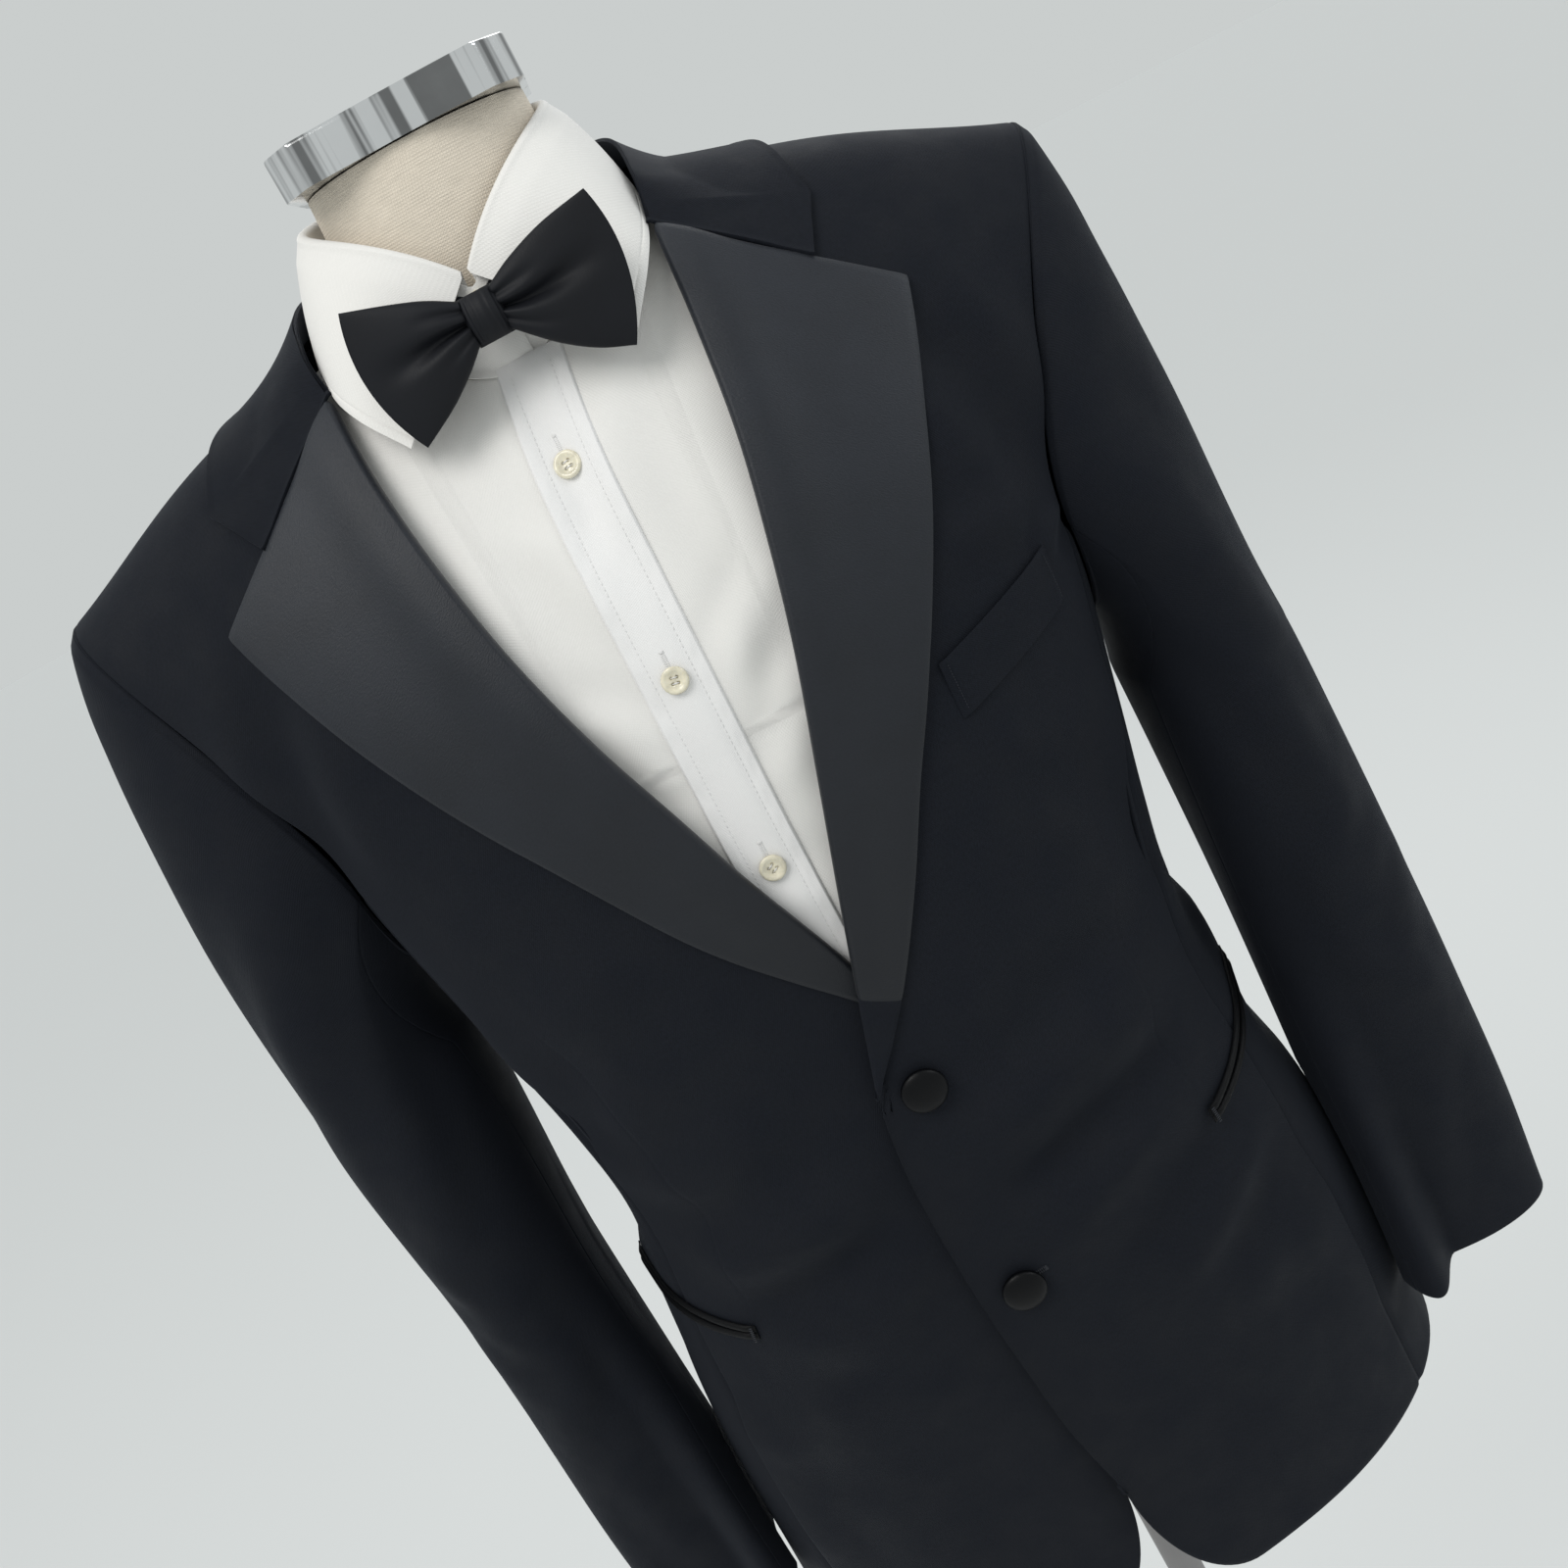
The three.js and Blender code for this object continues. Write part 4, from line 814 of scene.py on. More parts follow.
def finish(key):
    """A finish by its key, made when it is first asked for."""
    if key not in FINISHES:
        colors = bpy.context.scene.tuxedo_colors
        makers = {
            "wool": lambda: wool_finish(colors),
            "satin": lambda: satin_finish(colors),
            "piping": lambda: satin_finish(colors, "pocket piping", "piping", shine=0.15, sheen=0.02),
            "covered": lambda: satin_finish(colors, "button satin", "piping", (0.34, 0.44), 0.4, 0.16, 0.0),
            "tie": lambda: satin_finish(colors, "tie satin", "tie", (0.52, 0.64), 0.35, 0.24, 0.03),
            "cotton": lambda: cotton_finish(colors, "shirt cotton", "cotton"),
            "placket": lambda: cotton_finish(colors, "front band cotton", "placket", 0.0009),
            "linen": lambda: linen_finish(colors),
            "chrome": lambda: chrome_finish(colors),
            "steel": lambda: steel_finish(colors, "pole steel"),
            "sleeve_steel": lambda: steel_finish(colors, "pole collar steel", 1.35),
            "pearl": lambda: pearl_finish(colors),
            "white_thread": lambda: thread_finish("white thread", [c * 0.92 for c in colors.placket]),
            "dark_thread": lambda: thread_finish("dark thread", [c * 1.5 for c in colors.wool]),
        }
        FINISHES[key] = makers[key]()
    return FINISHES[key]


# Small trim

def spun(name, profile, place, steps, key):
    """A turned piece: a profile of (radius, height) points spun round the place's own Z axis."""
    bm = bmesh.new()
    verts = [bm.verts.new((r, 0, h)) for r, h in profile]
    edges = [bm.edges.new(pair) for pair in zip(verts, verts[1:])]
    bmesh.ops.spin(
        bm, geom=verts + edges, cent=(0, 0, 0), axis=(0, 0, 1), angle=2 * math.pi, steps=steps,
        use_merge=True, use_normal_flip=False, use_duplicate=False,
    )
    bmesh.ops.remove_doubles(bm, verts=bm.verts, dist=1e-4)
    bmesh.ops.recalc_face_normals(bm, faces=bm.faces)
    for face in bm.faces:
        face.smooth = True
    bmesh.ops.transform(bm, matrix=Matrix.Scale(MM, 4) @ place, verts=bm.verts)
    layer = bm.loops.layers.uv.new("cut")
    back = place.inverted() @ Matrix.Scale(1 / MM, 4)
    for face in bm.faces:
        for loop in face.loops:
            loop[layer].uv = (back @ loop.vert.co).to_2d() * MM
    return finish_mesh(name, bm, [finish(key)])


def facing(point, normal):
    """A place at a point whose Z looks along the normal."""
    z = Vector(normal).normalized()
    x = Vector((0, 0, 1)).cross(z).normalized()
    basis = Matrix((x, z.cross(x), z)).transposed().to_4x4()
    return Matrix.Translation(Vector(point)) @ basis


def add_stitch(bm, point, normal, along, length, thick):
    """One stitch of thread, a flat grain lying on the cloth."""
    z = Vector(normal).normalized()
    x = Vector(along).normalized()
    y = z.cross(x).normalized()
    basis = Matrix((x * length / 2, y * thick / 2, z * thick / 2)).transposed().to_4x4()
    place = Matrix.Scale(MM, 4) @ Matrix.Translation(Vector(point)) @ basis
    bmesh.ops.create_uvsphere(bm, u_segments=6, v_segments=4, radius=1.0, matrix=place)


def stitch_line(bm, spots, pitch, length, thick):
    """Stitches at an even pitch along a line of points, each given with its surface's normal."""
    p, n = (np.array([tuple(spot[k]) for spot in spots]) for k in (0, 1))
    way = np.insert(np.cumsum(np.linalg.norm(np.diff(p, axis=0), axis=1)), 0, 0)

    def at(s, values):
        return np.array([np.interp(s, way, values[:, k]) for k in range(3)])

    for s in np.arange(pitch / 2, way[-1], pitch):
        ahead = at(min(s + 1, way[-1]), p) - at(max(s - 1, 0), p)
        add_stitch(bm, at(s, p), at(s, n), ahead, length, thick)


def thread_piece(name, bm, key, slot):
    for face in bm.faces:
        face.smooth = True
    return settle(finish_mesh(name, bm, [finish(key)]), slot)


def buttonhole(bm, laid, x, z, along, length, thick, out=0.1):
    """A worked hole: two rows of close stitches along a slit and a bar at each end."""
    along = Vector((along[0], 0, along[1])).normalized()
    side = Vector((-along.z, 0, along.x))
    count = int(length / (thick * 1.25))
    for i in range(count + 1):
        for hand in (-1, 1):
            c = Vector((x, 0, z)) + along * (length * (i / count - 0.5)) + side * hand * 0.62 * thick * 1.6
            point, normal = laid.spot(c.x, c.z, out)
            add_stitch(bm, point, normal, side, thick * 2.1, thick)
    for end in (-0.5, 0.5):
        for k in (-1, 0, 1):
            c = Vector((x, 0, z)) + along * (length * end + k * 0.5 * thick)
            point, normal = laid.spot(c.x, c.z, out + 0.15)
            add_stitch(bm, point, normal, side, thick * 4.2, thick)


# Folds, each a line on its piece: from x0, z0 to x1, z1, with its width, height and bow.
# On side bodies the first number of each point is the depth, y.

FRONT_FOLDS = {
    LEFT: (
        (4, 1078, 132, 1092, 15, 3.0, 5), (18, 1048, 120, 1068, 11, -2.4, -5), (26, 1008, 106, 1048, 15, 2.6, 6),
        (44, 978, 132, 1016, 12, -2.2, -5), (72, 958, 142, 1000, 15, 2.2, 5), (60, 1128, 138, 1126, 12, -1.8, 5),
        (128, 1225, 150, 1120, 14, -2.6, 5), (96, 940, 150, 905, 18, 1.6, 6), (40, 960, 75, 850, 22, -1.6, 4),
        (150, 950, 158, 850, 14, 1.9, -3), (146, 1410, 168, 1310, 12, -3.0, 6), (112, 1318, 160, 1312, 9, 1.0, 3),
        (100, 1240, 152, 1215, 12, 1.2, -4), (158, 1288, 172, 1304, 5, 1.6, 2),
    ),
    RIGHT: (
        (24, 1090, 124, 1062, 15, 2.6, -5), (30, 1058, 116, 1034, 12, -2.2, 4), (36, 1024, 108, 1006, 14, 2.0, -4),
        (64, 1135, 142, 1112, 13, 1.8, -4), (126, 1215, 152, 1125, 14, -2.4, -4), (92, 985, 150, 935, 18, 1.9, -5),
        (50, 950, 66, 835, 22, -1.7, 3), (146, 975, 158, 845, 14, 1.7, 3), (150, 1408, 170, 1300, 12, -2.8, 5),
        (70, 1230, 140, 1190, 14, 1.3, 6),
    ),
}
BACK_FOLDS = {
    LEFT: (
        (20, 1150, 150, 1105, 15, 1.9, -8), (30, 1085, 150, 1062, 13, -1.7, 6), (60, 1040, 150, 985, 17, 1.6, 5),
        (150, 1290, 120, 1170, 16, -2.2, 6), (60, 1360, 150, 1330, 18, 1.5, 8), (30, 960, 60, 820, 20, -1.6, 5),
        (120, 950, 140, 810, 18, 1.8, -5), (15, 1430, 90, 1400, 16, -1.2, -5),
    ),
    RIGHT: (
        (24, 1142, 150, 1112, 14, 1.7, 7), (22, 1092, 150, 1056, 14, -1.8, -5), (70, 1034, 148, 990, 16, 1.7, -6),
        (152, 1280, 124, 1165, 15, -2.0, -5), (55, 1352, 150, 1338, 18, 1.6, -7), (36, 955, 52, 822, 20, -1.4, -4),
        (116, 945, 146, 815, 18, 1.7, 6), (18, 1424, 96, 1404, 16, -1.1, 4),
    ),
}
SIDE_FOLDS = {
    LEFT: (
        (-30, 1066, 40, 1046, 30, 6.5, 0), (-30, 1060, 40, 1092, 12, 1.4, 3), (-40, 1130, 20, 1100, 12, -1.2, 3),
        (10, 1000, -20, 840, 18, 1.6, 5),
    ),
    RIGHT: (
        (-30, 1096, 40, 1086, 32, -5.5, 0), (-34, 1042, 36, 1024, 12, 1.5, 4), (14, 1006, -24, 850, 18, 1.5, -5),
    ),
}
# On sleeves the first number of each point is round the arm, 0 at the shoulder line
ROUND_ARM = 0.8  # millimetres to a degree
SLEEVE_FOLDS = {
    LEFT: (
        (70, 1360, 52, 1180, 13, 3.2, 6), (40, 1330, 20, 1190, 14, -1.6, -5), (88, 1240, 60, 1110, 11, 2.6, -6),
        (46, 1120, 88, 1062, 10, 1.7, 6), (36, 1080, 70, 1024, 10, -1.3, 5), (92, 1040, 40, 985, 10, 1.8, -5),
        (-40, 1150, -10, 990, 16, 1.8, 6), (-76, 1320, -60, 1160, 14, -2.4, 5), (66, 960, 80, 860, 10, 1.5, 3),
        (-20, 1420, 24, 1408, 16, 0.9, 2), (120, 1120, 140, 900, 14, 1.8, 5), (-110, 1090, -60, 1040, 10, -1.8, 4),
    ),
    RIGHT: (
        (74, 1350, 50, 1190, 13, 3.0, -5), (44, 1320, 26, 1180, 14, -1.6, 5), (84, 1230, 62, 1100, 11, 2.4, 5),
        (44, 1110, 86, 1070, 10, 1.6, -5), (38, 1070, 68, 1030, 10, -1.2, -4), (90, 1030, 44, 975, 10, 1.9, 4),
        (-36, 1160, -14, 980, 16, 1.7, -5), (-72, 1310, -64, 1150, 14, -2.2, -4), (70, 955, 78, 865, 10, 1.4, -3),
        (-24, 1424, 20, 1410, 16, 1.0, 2), (118, 1110, 142, 905, 14, 1.7, -4), (-106, 1085, -64, 1046, 10, -1.7, 3),
    ),
}
SHIRT_FOLDS = (
    (-6, 1448, -3, 1385, 7, -2.6, 3), (-30, 1405, -12, 1352, 9, 1.8, 4), (30, 1440, 16, 1372, 10, 1.6, -4),
    (20, 1318, 56, 1346, 7, 1.7, 3), (22, 1298, 60, 1322, 7, -1.5, 3), (-16, 1300, -52, 1330, 8, 1.6, -3),
    (-18, 1276, -44, 1300, 7, -1.4, 3), (18, 1262, 44, 1288, 8, 1.5, 3), (-8, 1225, 30, 1200, 9, 1.6, 4),
    (44, 1420, 60, 1300, 12, 1.6, 5), (-46, 1420, -58, 1310, 12, 1.5, -5), (-6, 1370, 2, 1250, 9, 0.9, 3),
)


def crease_scale():
    return bpy.context.scene.tuxedo_sizes.creases


# The jacket

DART_U = 0.8
DRAG_FOLDS = 1.75
BODY_ROWS = joined(crowded(112, 0.45), crowded(58, 0.6))


def front_points(side):
    dart = DART_U + np.array([-0.014, -0.006, -0.002, 0.002, 0.006, 0.014])
    us = np.unique(np.concatenate([crowded(72, 0.8) ** 1.25, dart]))
    u, v = grid(us, BODY_ROWS)
    p = front_panel(side, u, v)
    x, z = side * p[..., 0], p[..., 2]
    dart_deep = 0.3 * bell(u, DART_U, 0.006) * ease(1030, 1050, z) * (1 - ease(1150, 1240, z))
    height = DRAG_FOLDS * crease_scale() * creases(FRONT_FOLDS[side], x, z) - dart_deep
    height = height + seam_dip(p, ("right", "high")) + seam_dip(p, ("left", "low"), 0.7, 1.4)
    return lift(p, side, height)


def front_offset(side, x, z, out):
    """Points off the front's own face, along its normal."""
    step = 0.5
    across = front_at(x + step, z) - front_at(x - step, z)
    along = front_at(x, z + step) - front_at(x, z - step)
    n = np.cross(across, along)
    n /= np.linalg.norm(n, axis=-1, keepdims=True)
    p = front_at(x, z) + n * np.asarray(out)[..., None]
    return stack(side * p[..., 0], p[..., 1] - lap(side, side * x, z), p[..., 2])


SATIN_END_Z = 1172.0
LAPEL_ROWS = crowded(150, 0.5)


def lapel_roll_z(side):
    return lerp(LAPEL_FOOT[side][0], GORGE_Z, LAPEL_ROWS)


def lapel_points(side):
    """A lapel from its return inside, round the roll and over the chest to its outer edge."""
    vs = LAPEL_ROWS
    turn = np.radians(np.linspace(-90, 90, 13))
    back = np.array([1.0, 0.6, 0.3])
    face = np.linspace(0, 1, 46)[1:] ** 1.15
    roll_z, edge_z = lapel_roll_z(side), lerp(LAPEL_FOOT[side][1], LAPEL_CORNER_Z, vs)
    roll_x, edge_x = column(ROLL_LINE[side], "x", roll_z), column(LAPEL_EDGE[side], "x", edge_z)
    width = np.hypot(edge_x - roll_x, roll_z - edge_z)
    radius = np.minimum(2.6, 0.35 * width)
    free = ease(0.02, 0.2, vs) if side > 0 else ease(0.1, 0.3, vs)
    low, inside = (2.9, -2.2) if side > 0 else (lerp(1.6, 2.9, ease(0, 0.15, vs)), -2.8)

    def height(across):
        soft = 5.2 * free * bell(across, 15, 15) * (1 - across / width) * (1 - 0.5 * vs)
        belly = 1.5 * bell(vs, 0.62, 0.3) * ease(0.5, 1, across / width)
        return low + soft + belly

    top = height(radius)
    half = (top - inside) / 2
    sections = [(radius + 7 * b * np.minimum(1, width / 20), inside - 0.3 * b + 0 * vs) for b in back]
    sections += [(radius * (1 - math.cos(t)), (top + inside) / 2 + half * math.sin(t)) for t in turn]
    sections += [(lerp(radius, width, f), height(lerp(radius, width, f))) for f in face]
    across = np.stack([a for a, _ in sections], axis=-1)
    out = np.stack([o for _, o in sections], axis=-1)
    share = across / width[:, None]
    x, z = lerp(roll_x[:, None], edge_x[:, None], share), lerp(roll_z[:, None], edge_z[:, None], share)
    p = front_offset(side, x, z, out)
    seam = -0.4 * bell(roll_z[:, None], SATIN_END_Z, 1.6) * (side > 0)
    return lift(p, side, seam + seam_dip(p, ("high",), 1.0, 1.6) + seam_dip(p, ("right",), 0.5, 1.2))


COLLAR_UNDER, COLLAR_END = 2.7, 0.05


def half_round(*half):
    return through(*half, *[(-x, y, z) for x, y, z in half[-2::-1]])


def over(x, z, out, back=False):
    if not back:
        p = front_at(abs(x), z)
        return math.copysign(p[0], x), p[1] - out, p[2]
    s = share_at(np.float64(x), np.float64(z), True)
    p = upper(x / armhole_x(s), s, True)
    return p[0], p[1] + out * 0.7, p[2] + out * 0.7


def collar_edge(u):
    """The outer edge: straight from each notch to its corner, then on in one line round the back."""
    notch = [np.array(over(x, 1439.5, COLLAR_UNDER)) for x in (125.0, -125.0)]
    corner = [over(137.0, 1461.0, COLLAR_UNDER), over(-143.0, 1460.0, COLLAR_UNDER)]
    shoulder = [(side * 126, RIDGE_Y, float(ridge_z(126.0)) + COLLAR_UNDER) for side in (1, -1)]
    nape = over(80, 1484, COLLAR_UNDER + 1, True)
    middle = over(0, 1474, COLLAR_UNDER + 1, True)
    round_back = through(corner[0], shoulder[0], nape, middle, (-nape[0], *nape[1:]), shoulder[1], corner[1])
    line = round_back((u - COLLAR_END) / (1 - 2 * COLLAR_END))
    for end, share in ((0, u), (1, 1 - u)):
        straight = lerp(notch[end], np.array(corner[end]), (share / COLLAR_END)[..., None])
        line = np.where((share < COLLAR_END)[..., None], straight, line)
    return line


def collar_points():
    fold = half_round(over(73, 1480, 3.2), (76, -32, 1501), (74.5, 8, 1519), (54, 51, 1524), (0, 74, 1525))
    seam = half_round(over(77, 1480, -2.4), (79.5, -22, 1494), (80.8, 8, 1503), (58, 47, 1503), (0, 65.3, 1503))
    us, corners = crowded(180, 0.5), np.array([COLLAR_END, 1 - COLLAR_END])
    us = np.sort(np.concatenate([us[np.abs(us[:, None] - corners).min(axis=1) > 0.003], corners]))
    vs = np.concatenate([np.linspace(-0.9, -0.1, 8), np.linspace(-0.08, 0.08, 7), np.linspace(0.1, 1, 30)])
    u, v = grid(us, vs)
    down, out = np.clip(-v, 0, 1)[..., None], np.clip(v, 0, 1)[..., None]
    p = np.where(v[..., None] < 0, lerp(fold(u), seam(u), down), lerp(fold(u), collar_edge(u), out))
    away = np.clip(v, 0, 1)
    fall = 34 * bell(u, 0.2, 0.1) + 14 * bell(u, 0.8, 0.1)
    p[..., 2] += 4 * np.sin(np.pi * away) * (1 - away) * bell(u, 0.5, 0.2) - fall * away * (1 - away) ** 1.2
    short = np.maximum(shoulder_z(p[..., 0], p[..., 1]) + COLLAR_UNDER - p[..., 2], 0)
    p[..., 2] += short * ease(0.02, 0.22, v)
    for _ in range(5):
        p[5:22] = (p[4:21] + 2 * p[5:22] + p[6:23]) / 4
    height = 1.0 - 0.5 * (bell(u, 0, 0.05) + bell(u, 1, 0.05))
    return lift(p, 1, height + seam_dip(p, ("high",), 0.5, 1.2) + seam_dip(p, ("left", "right"), 0.6, 1.2))


ALLOWANCE = np.array([5.5, 3.5, 2.0, 1.2, 0.6])


def tucked(lo, hi, steps, unit=1.0):
    """Steps with a seam allowance past both ends, and how deep each lies under its neighbour."""
    ends = np.concatenate([lo - ALLOWANCE * unit, steps, hi + ALLOWANCE[::-1] * unit])
    past = np.maximum(np.maximum(lo - ends, ends - hi) / unit, 0)
    return ends, -2.3 * ease(0, 1.2, past)


def sleeve_points(side, lo, hi, columns, under):
    angles, drop = crowded(columns, 0.6, lo, hi), 0.0
    if under:
        angles, drop = tucked(lo, hi, angles)
    u, v = grid(angles, joined(crowded(44, 0.6), np.linspace(0, 1, 92)))
    swing = np.clip(np.minimum((u - 60) / (HALF_SEAM - 60), (180 - u) / (180 - HALF_SEAM)), 0, 1)
    turn = u + 45 * swing * ease(0.2, 1.3, v)
    p = sleeve(side, turn, v)
    round_arm = np.where(turn > 180, turn - 360, turn) * ROUND_ARM
    folds = creases(SLEEVE_FOLDS[side], round_arm, p[..., 2]) * ease(0.05, 0.4, v)
    seams = -0.15 * bell(u, 115, 1.1) - 0.45 * (bell(u, -115, 1.1) + bell(u, 245, 1.1))
    p = lift(p, side, 2.0 * ease(0, 0.05, v) - 0.4 + crease_scale() * folds + seams + drop)
    return turned(turned(p, side, "high", 1.3, 28), side, "low", 0.7, 5)


def button_profile(radius, high):
    rim = high * 0.42
    crown = [(radius * math.cos(a), rim + (high - rim) * math.sin(a)) for a in np.radians(np.linspace(0, 90, 12))]
    return [(0, 0.2), (radius * 0.78, 0), (radius * 0.96, rim * 0.35), (radius, rim * 0.7), *crown[:-1], (0, high)]


class Piece:
    """What each operator of this add-on has in common."""
    bl_options = {"REGISTER", "UNDO"}


class TUXEDO_OT_jacket_fronts(Piece, bpy.types.Operator):
    """Cut and lay the jacket's two fronts"""
    bl_idname = "tuxedo.jacket_fronts"
    bl_label = "Jacket Fronts"

    def execute(self, context):
        for side, word in WORD.items():
            p = front_points(side)
            LAID[f"jacket_front_{word}"] = Laid(p, side)
            sew(f"jacket_front_{word}", "wool", p, side)
        return {"FINISHED"}


def side_swell(side, p, across):
    """The side body's folds; across runs from its front seam, 0, to its back seam, 1."""
    return crease_scale() * creases(SIDE_FOLDS[side], p[..., 1], p[..., 2]) * bell(across, 0.5, 0.35)


class TUXEDO_OT_jacket_sides(Piece, bpy.types.Operator):
    """Cut and lay the side bodies under the arms"""
    bl_idname = "tuxedo.jacket_sides"
    bl_label = "Jacket Side Bodies"

    def execute(self, context):
        for side, word in WORD.items():
            us, drop = tucked(0.0, 1.0, crowded(34, 0.7), 0.012)
            u, v = grid(us, crowded(110, 0.4))
            p = side_panel(side, u, v)
            seams = -0.9 * (bell(u, 0, 0.015) + bell(u, 1, 0.015))
            height = side_swell(side, p, u) + seams + drop + seam_dip(p, ("low",), 0.6, 1.4)
            sew(f"jacket_side_{word}", "wool", lift(p, side, height), side)
        return {"FINISHED"}


class TUXEDO_OT_jacket_backs(Piece, bpy.types.Operator):
    """Cut and lay the two backs, with the seam down the middle"""
    bl_idname = "tuxedo.jacket_backs"
    bl_label = "Jacket Backs"

    def execute(self, context):
        for side, word in WORD.items():
            u, v = grid(crowded(70, 0.75), BODY_ROWS)
            p = back_panel(side, u, v)
            folds = crease_scale() * creases(BACK_FOLDS[side], side * p[..., 0], p[..., 2])
            height = folds * ease(2, 22, side * p[..., 0]) + seam_dip(p, ("left", "right", "high"))
            height = height + seam_dip(p, ("low",), 0.6, 1.4)
            sew(f"jacket_back_{word}", "wool", lift(p, side, height), side)
        return {"FINISHED"}


class TUXEDO_OT_sleeves(Piece, bpy.types.Operator):
    """Cut the two-piece sleeves, set them in and turn up their cuffs"""
    bl_idname = "tuxedo.sleeves"
    bl_label = "Sleeves"

    def execute(self, context):
        for side, word in WORD.items():
            for kind, lo, hi, count in (("top", -114.8, 114.8, 110), ("under", 115.2, 244.8, 62)):
                p = sleeve_points(side, lo, hi, count, kind == "under")
                sew(f"{kind}sleeve_{word}", "wool", p, side)
        return {"FINISHED"}


class TUXEDO_OT_lapels(Piece, bpy.types.Operator):
    """Roll the satin lapels over the fronts"""
    bl_idname = "tuxedo.lapels"
    bl_label = "Satin Lapels"

    def execute(self, context):
        for side, word in WORD.items():
            wool_rows = (side > 0) & (lapel_roll_z(side) <= SATIN_END_Z)
            sew(f"lapel_{word}", "satin", lapel_points(side), side, pick=wool_rows)
        return {"FINISHED"}


class TUXEDO_OT_jacket_collar(Piece, bpy.types.Operator):
    """Fold the top collar round the neck"""
    bl_idname = "tuxedo.jacket_collar"
    bl_label = "Jacket Collar"

    def execute(self, context):
        sew("jacket_collar", "wool", collar_points(), 1)
        return {"FINISHED"}


WELT = {"x": 94.5, "z": 1267.5, "width": 63.0, "rise": 15.0, "high": 26.0}
HIP = {"front": 41.0, "back": 84.0, "high": 4.0}
HIP_LINE = {LEFT: (1018.0, 1042.0), RIGHT: (1023.5, 1041.0)}


class TUXEDO_OT_pockets(Piece, bpy.types.Operator):
    """Set in the breast welt and the jetted hip pockets, with their bartacks"""
    bl_idname = "tuxedo.pockets"
    bl_label = "Pockets"

    def execute(self, context):
        laid = LAID["jacket_front_left"]
        u, v = grid(crowded(40, 0.7), crowded(20, 0.75))
        x = WELT["x"] + WELT["width"] * u
        z = WELT["z"] - WELT["high"] / 2 + WELT["rise"] * u + WELT["high"] * v
        out = 1.5 - 1.1 * (1 - np.minimum(ease(0, 0.07, u), ease(0, 0.07, 1 - u))) + 0.9 * ease(0.3, 1, v)
        sew("breast_welt", "wool", laid.spots(x, z, out), 1, 1.1)
        bm = bmesh.new()
        for end in (0.045, 0.955):
            x, z = WELT["x"] + WELT["width"] * end, WELT["z"] - 10 + WELT["rise"] * end
            stitch_line(bm, [laid.spot(x, z + k, 2.6) for k in (0, 10, 21)], 1.3, 1.0, 0.35)
        for side, word in WORD.items():
            self.hip_pocket(side, word, bm)
        thread_piece("pocket_bartacks", bm, "dark_thread", "wool")
        return {"FINISHED"}

    @staticmethod
    def hip_pocket(side, word, bm):
        for jet, name in ((1, "upper"), (-1, "lower")):
            u, v = grid(crowded(44, 0.6), np.linspace(0, 1, 9))
            middle = lerp(*HIP_LINE[side], u)
            gape = 0.9 * np.sin(np.pi * np.clip(u, 0, 1)) * jet
            z = middle + gape + (0.2 if jet > 0 else -0.2 - HIP["high"]) + HIP["high"] * v
            turn, edge = lerp(HIP["front"], HIP["back"], u), seam_angle(z)
            p = mirrored(side, section(TRUNK, z, turn))
            round_edge = np.sqrt(np.clip(1 - (2 * v - 1) ** 2, 0, 1))
            past = (turn - edge) / (180 - 2 * edge)
            swell = side_swell(side, p, past) * ease(-0.05, 0.1, past)
            p = lift(p, side, 0.9 + swell + 1.6 * round_edge * ease(0, 0.06, u) * ease(0, 0.06, 1 - u))
            sew(f"hip_jet_{name}_{word}", "piping", p, side, 0.7)
        for k in np.linspace(-4, 4, 8):
            q = section(TRUNK, np.float64(HIP_LINE[side][0] + k + 0.4), HIP["front"] + 0.7)
            n = Vector((side * q[0], q[1] * 2.0, 0)).normalized()
            add_stitch(bm, Vector((side * q[0], q[1], q[2])) + n * 2.5, n, n.cross(Vector((0, 0, 1))), 2.6, 0.8)


# Each with where its middle is on the left front, in x and z, and its buttonhole's length
JACKET_BUTTONS = (("upper", 8.5, 1119.5, 12), ("lower", 5.0, 1003.0, 22))


class TUXEDO_OT_jacket_buttons(Piece, bpy.types.Operator):
    """Cover and sew on the jacket's two buttons"""
    bl_idname = "tuxedo.jacket_buttons"
    bl_label = "Jacket Buttons"

    def execute(self, context):
        laid = LAID["jacket_front_left"]
        profile = button_profile(context.scene.tuxedo_sizes.jacket_button / MM, 6.2)
        bm = bmesh.new()
        for word, x, z, hole in JACKET_BUTTONS:
            node = f"jacket_button_{word}"
            button = spun(node + "_cover", profile, facing(*laid.spot(x, z, 0.7)), 56, "covered")
            settle(button, "covered_button", node)
            buttonhole(bm, laid, x + 2.5, z + 2.2, (1, 0.12), hole, 0.75)
        thread_piece("jacket_buttonholes", bm, "dark_thread", "wool")
        return {"FINISHED"}


# The shirt

def shirt_points(side):
    u, v = grid(crowded(70, 0.4) ** 1.2, joined(np.linspace(0, 1, 100), np.linspace(0, 1, 60)))
    p = lift(shirt_panel(side, u, v, False), side, SHIRT_FACE)
    folds = crease_scale() * creases(SHIRT_FOLDS, p[..., 0], p[..., 2])
    return lift(p, side, folds)


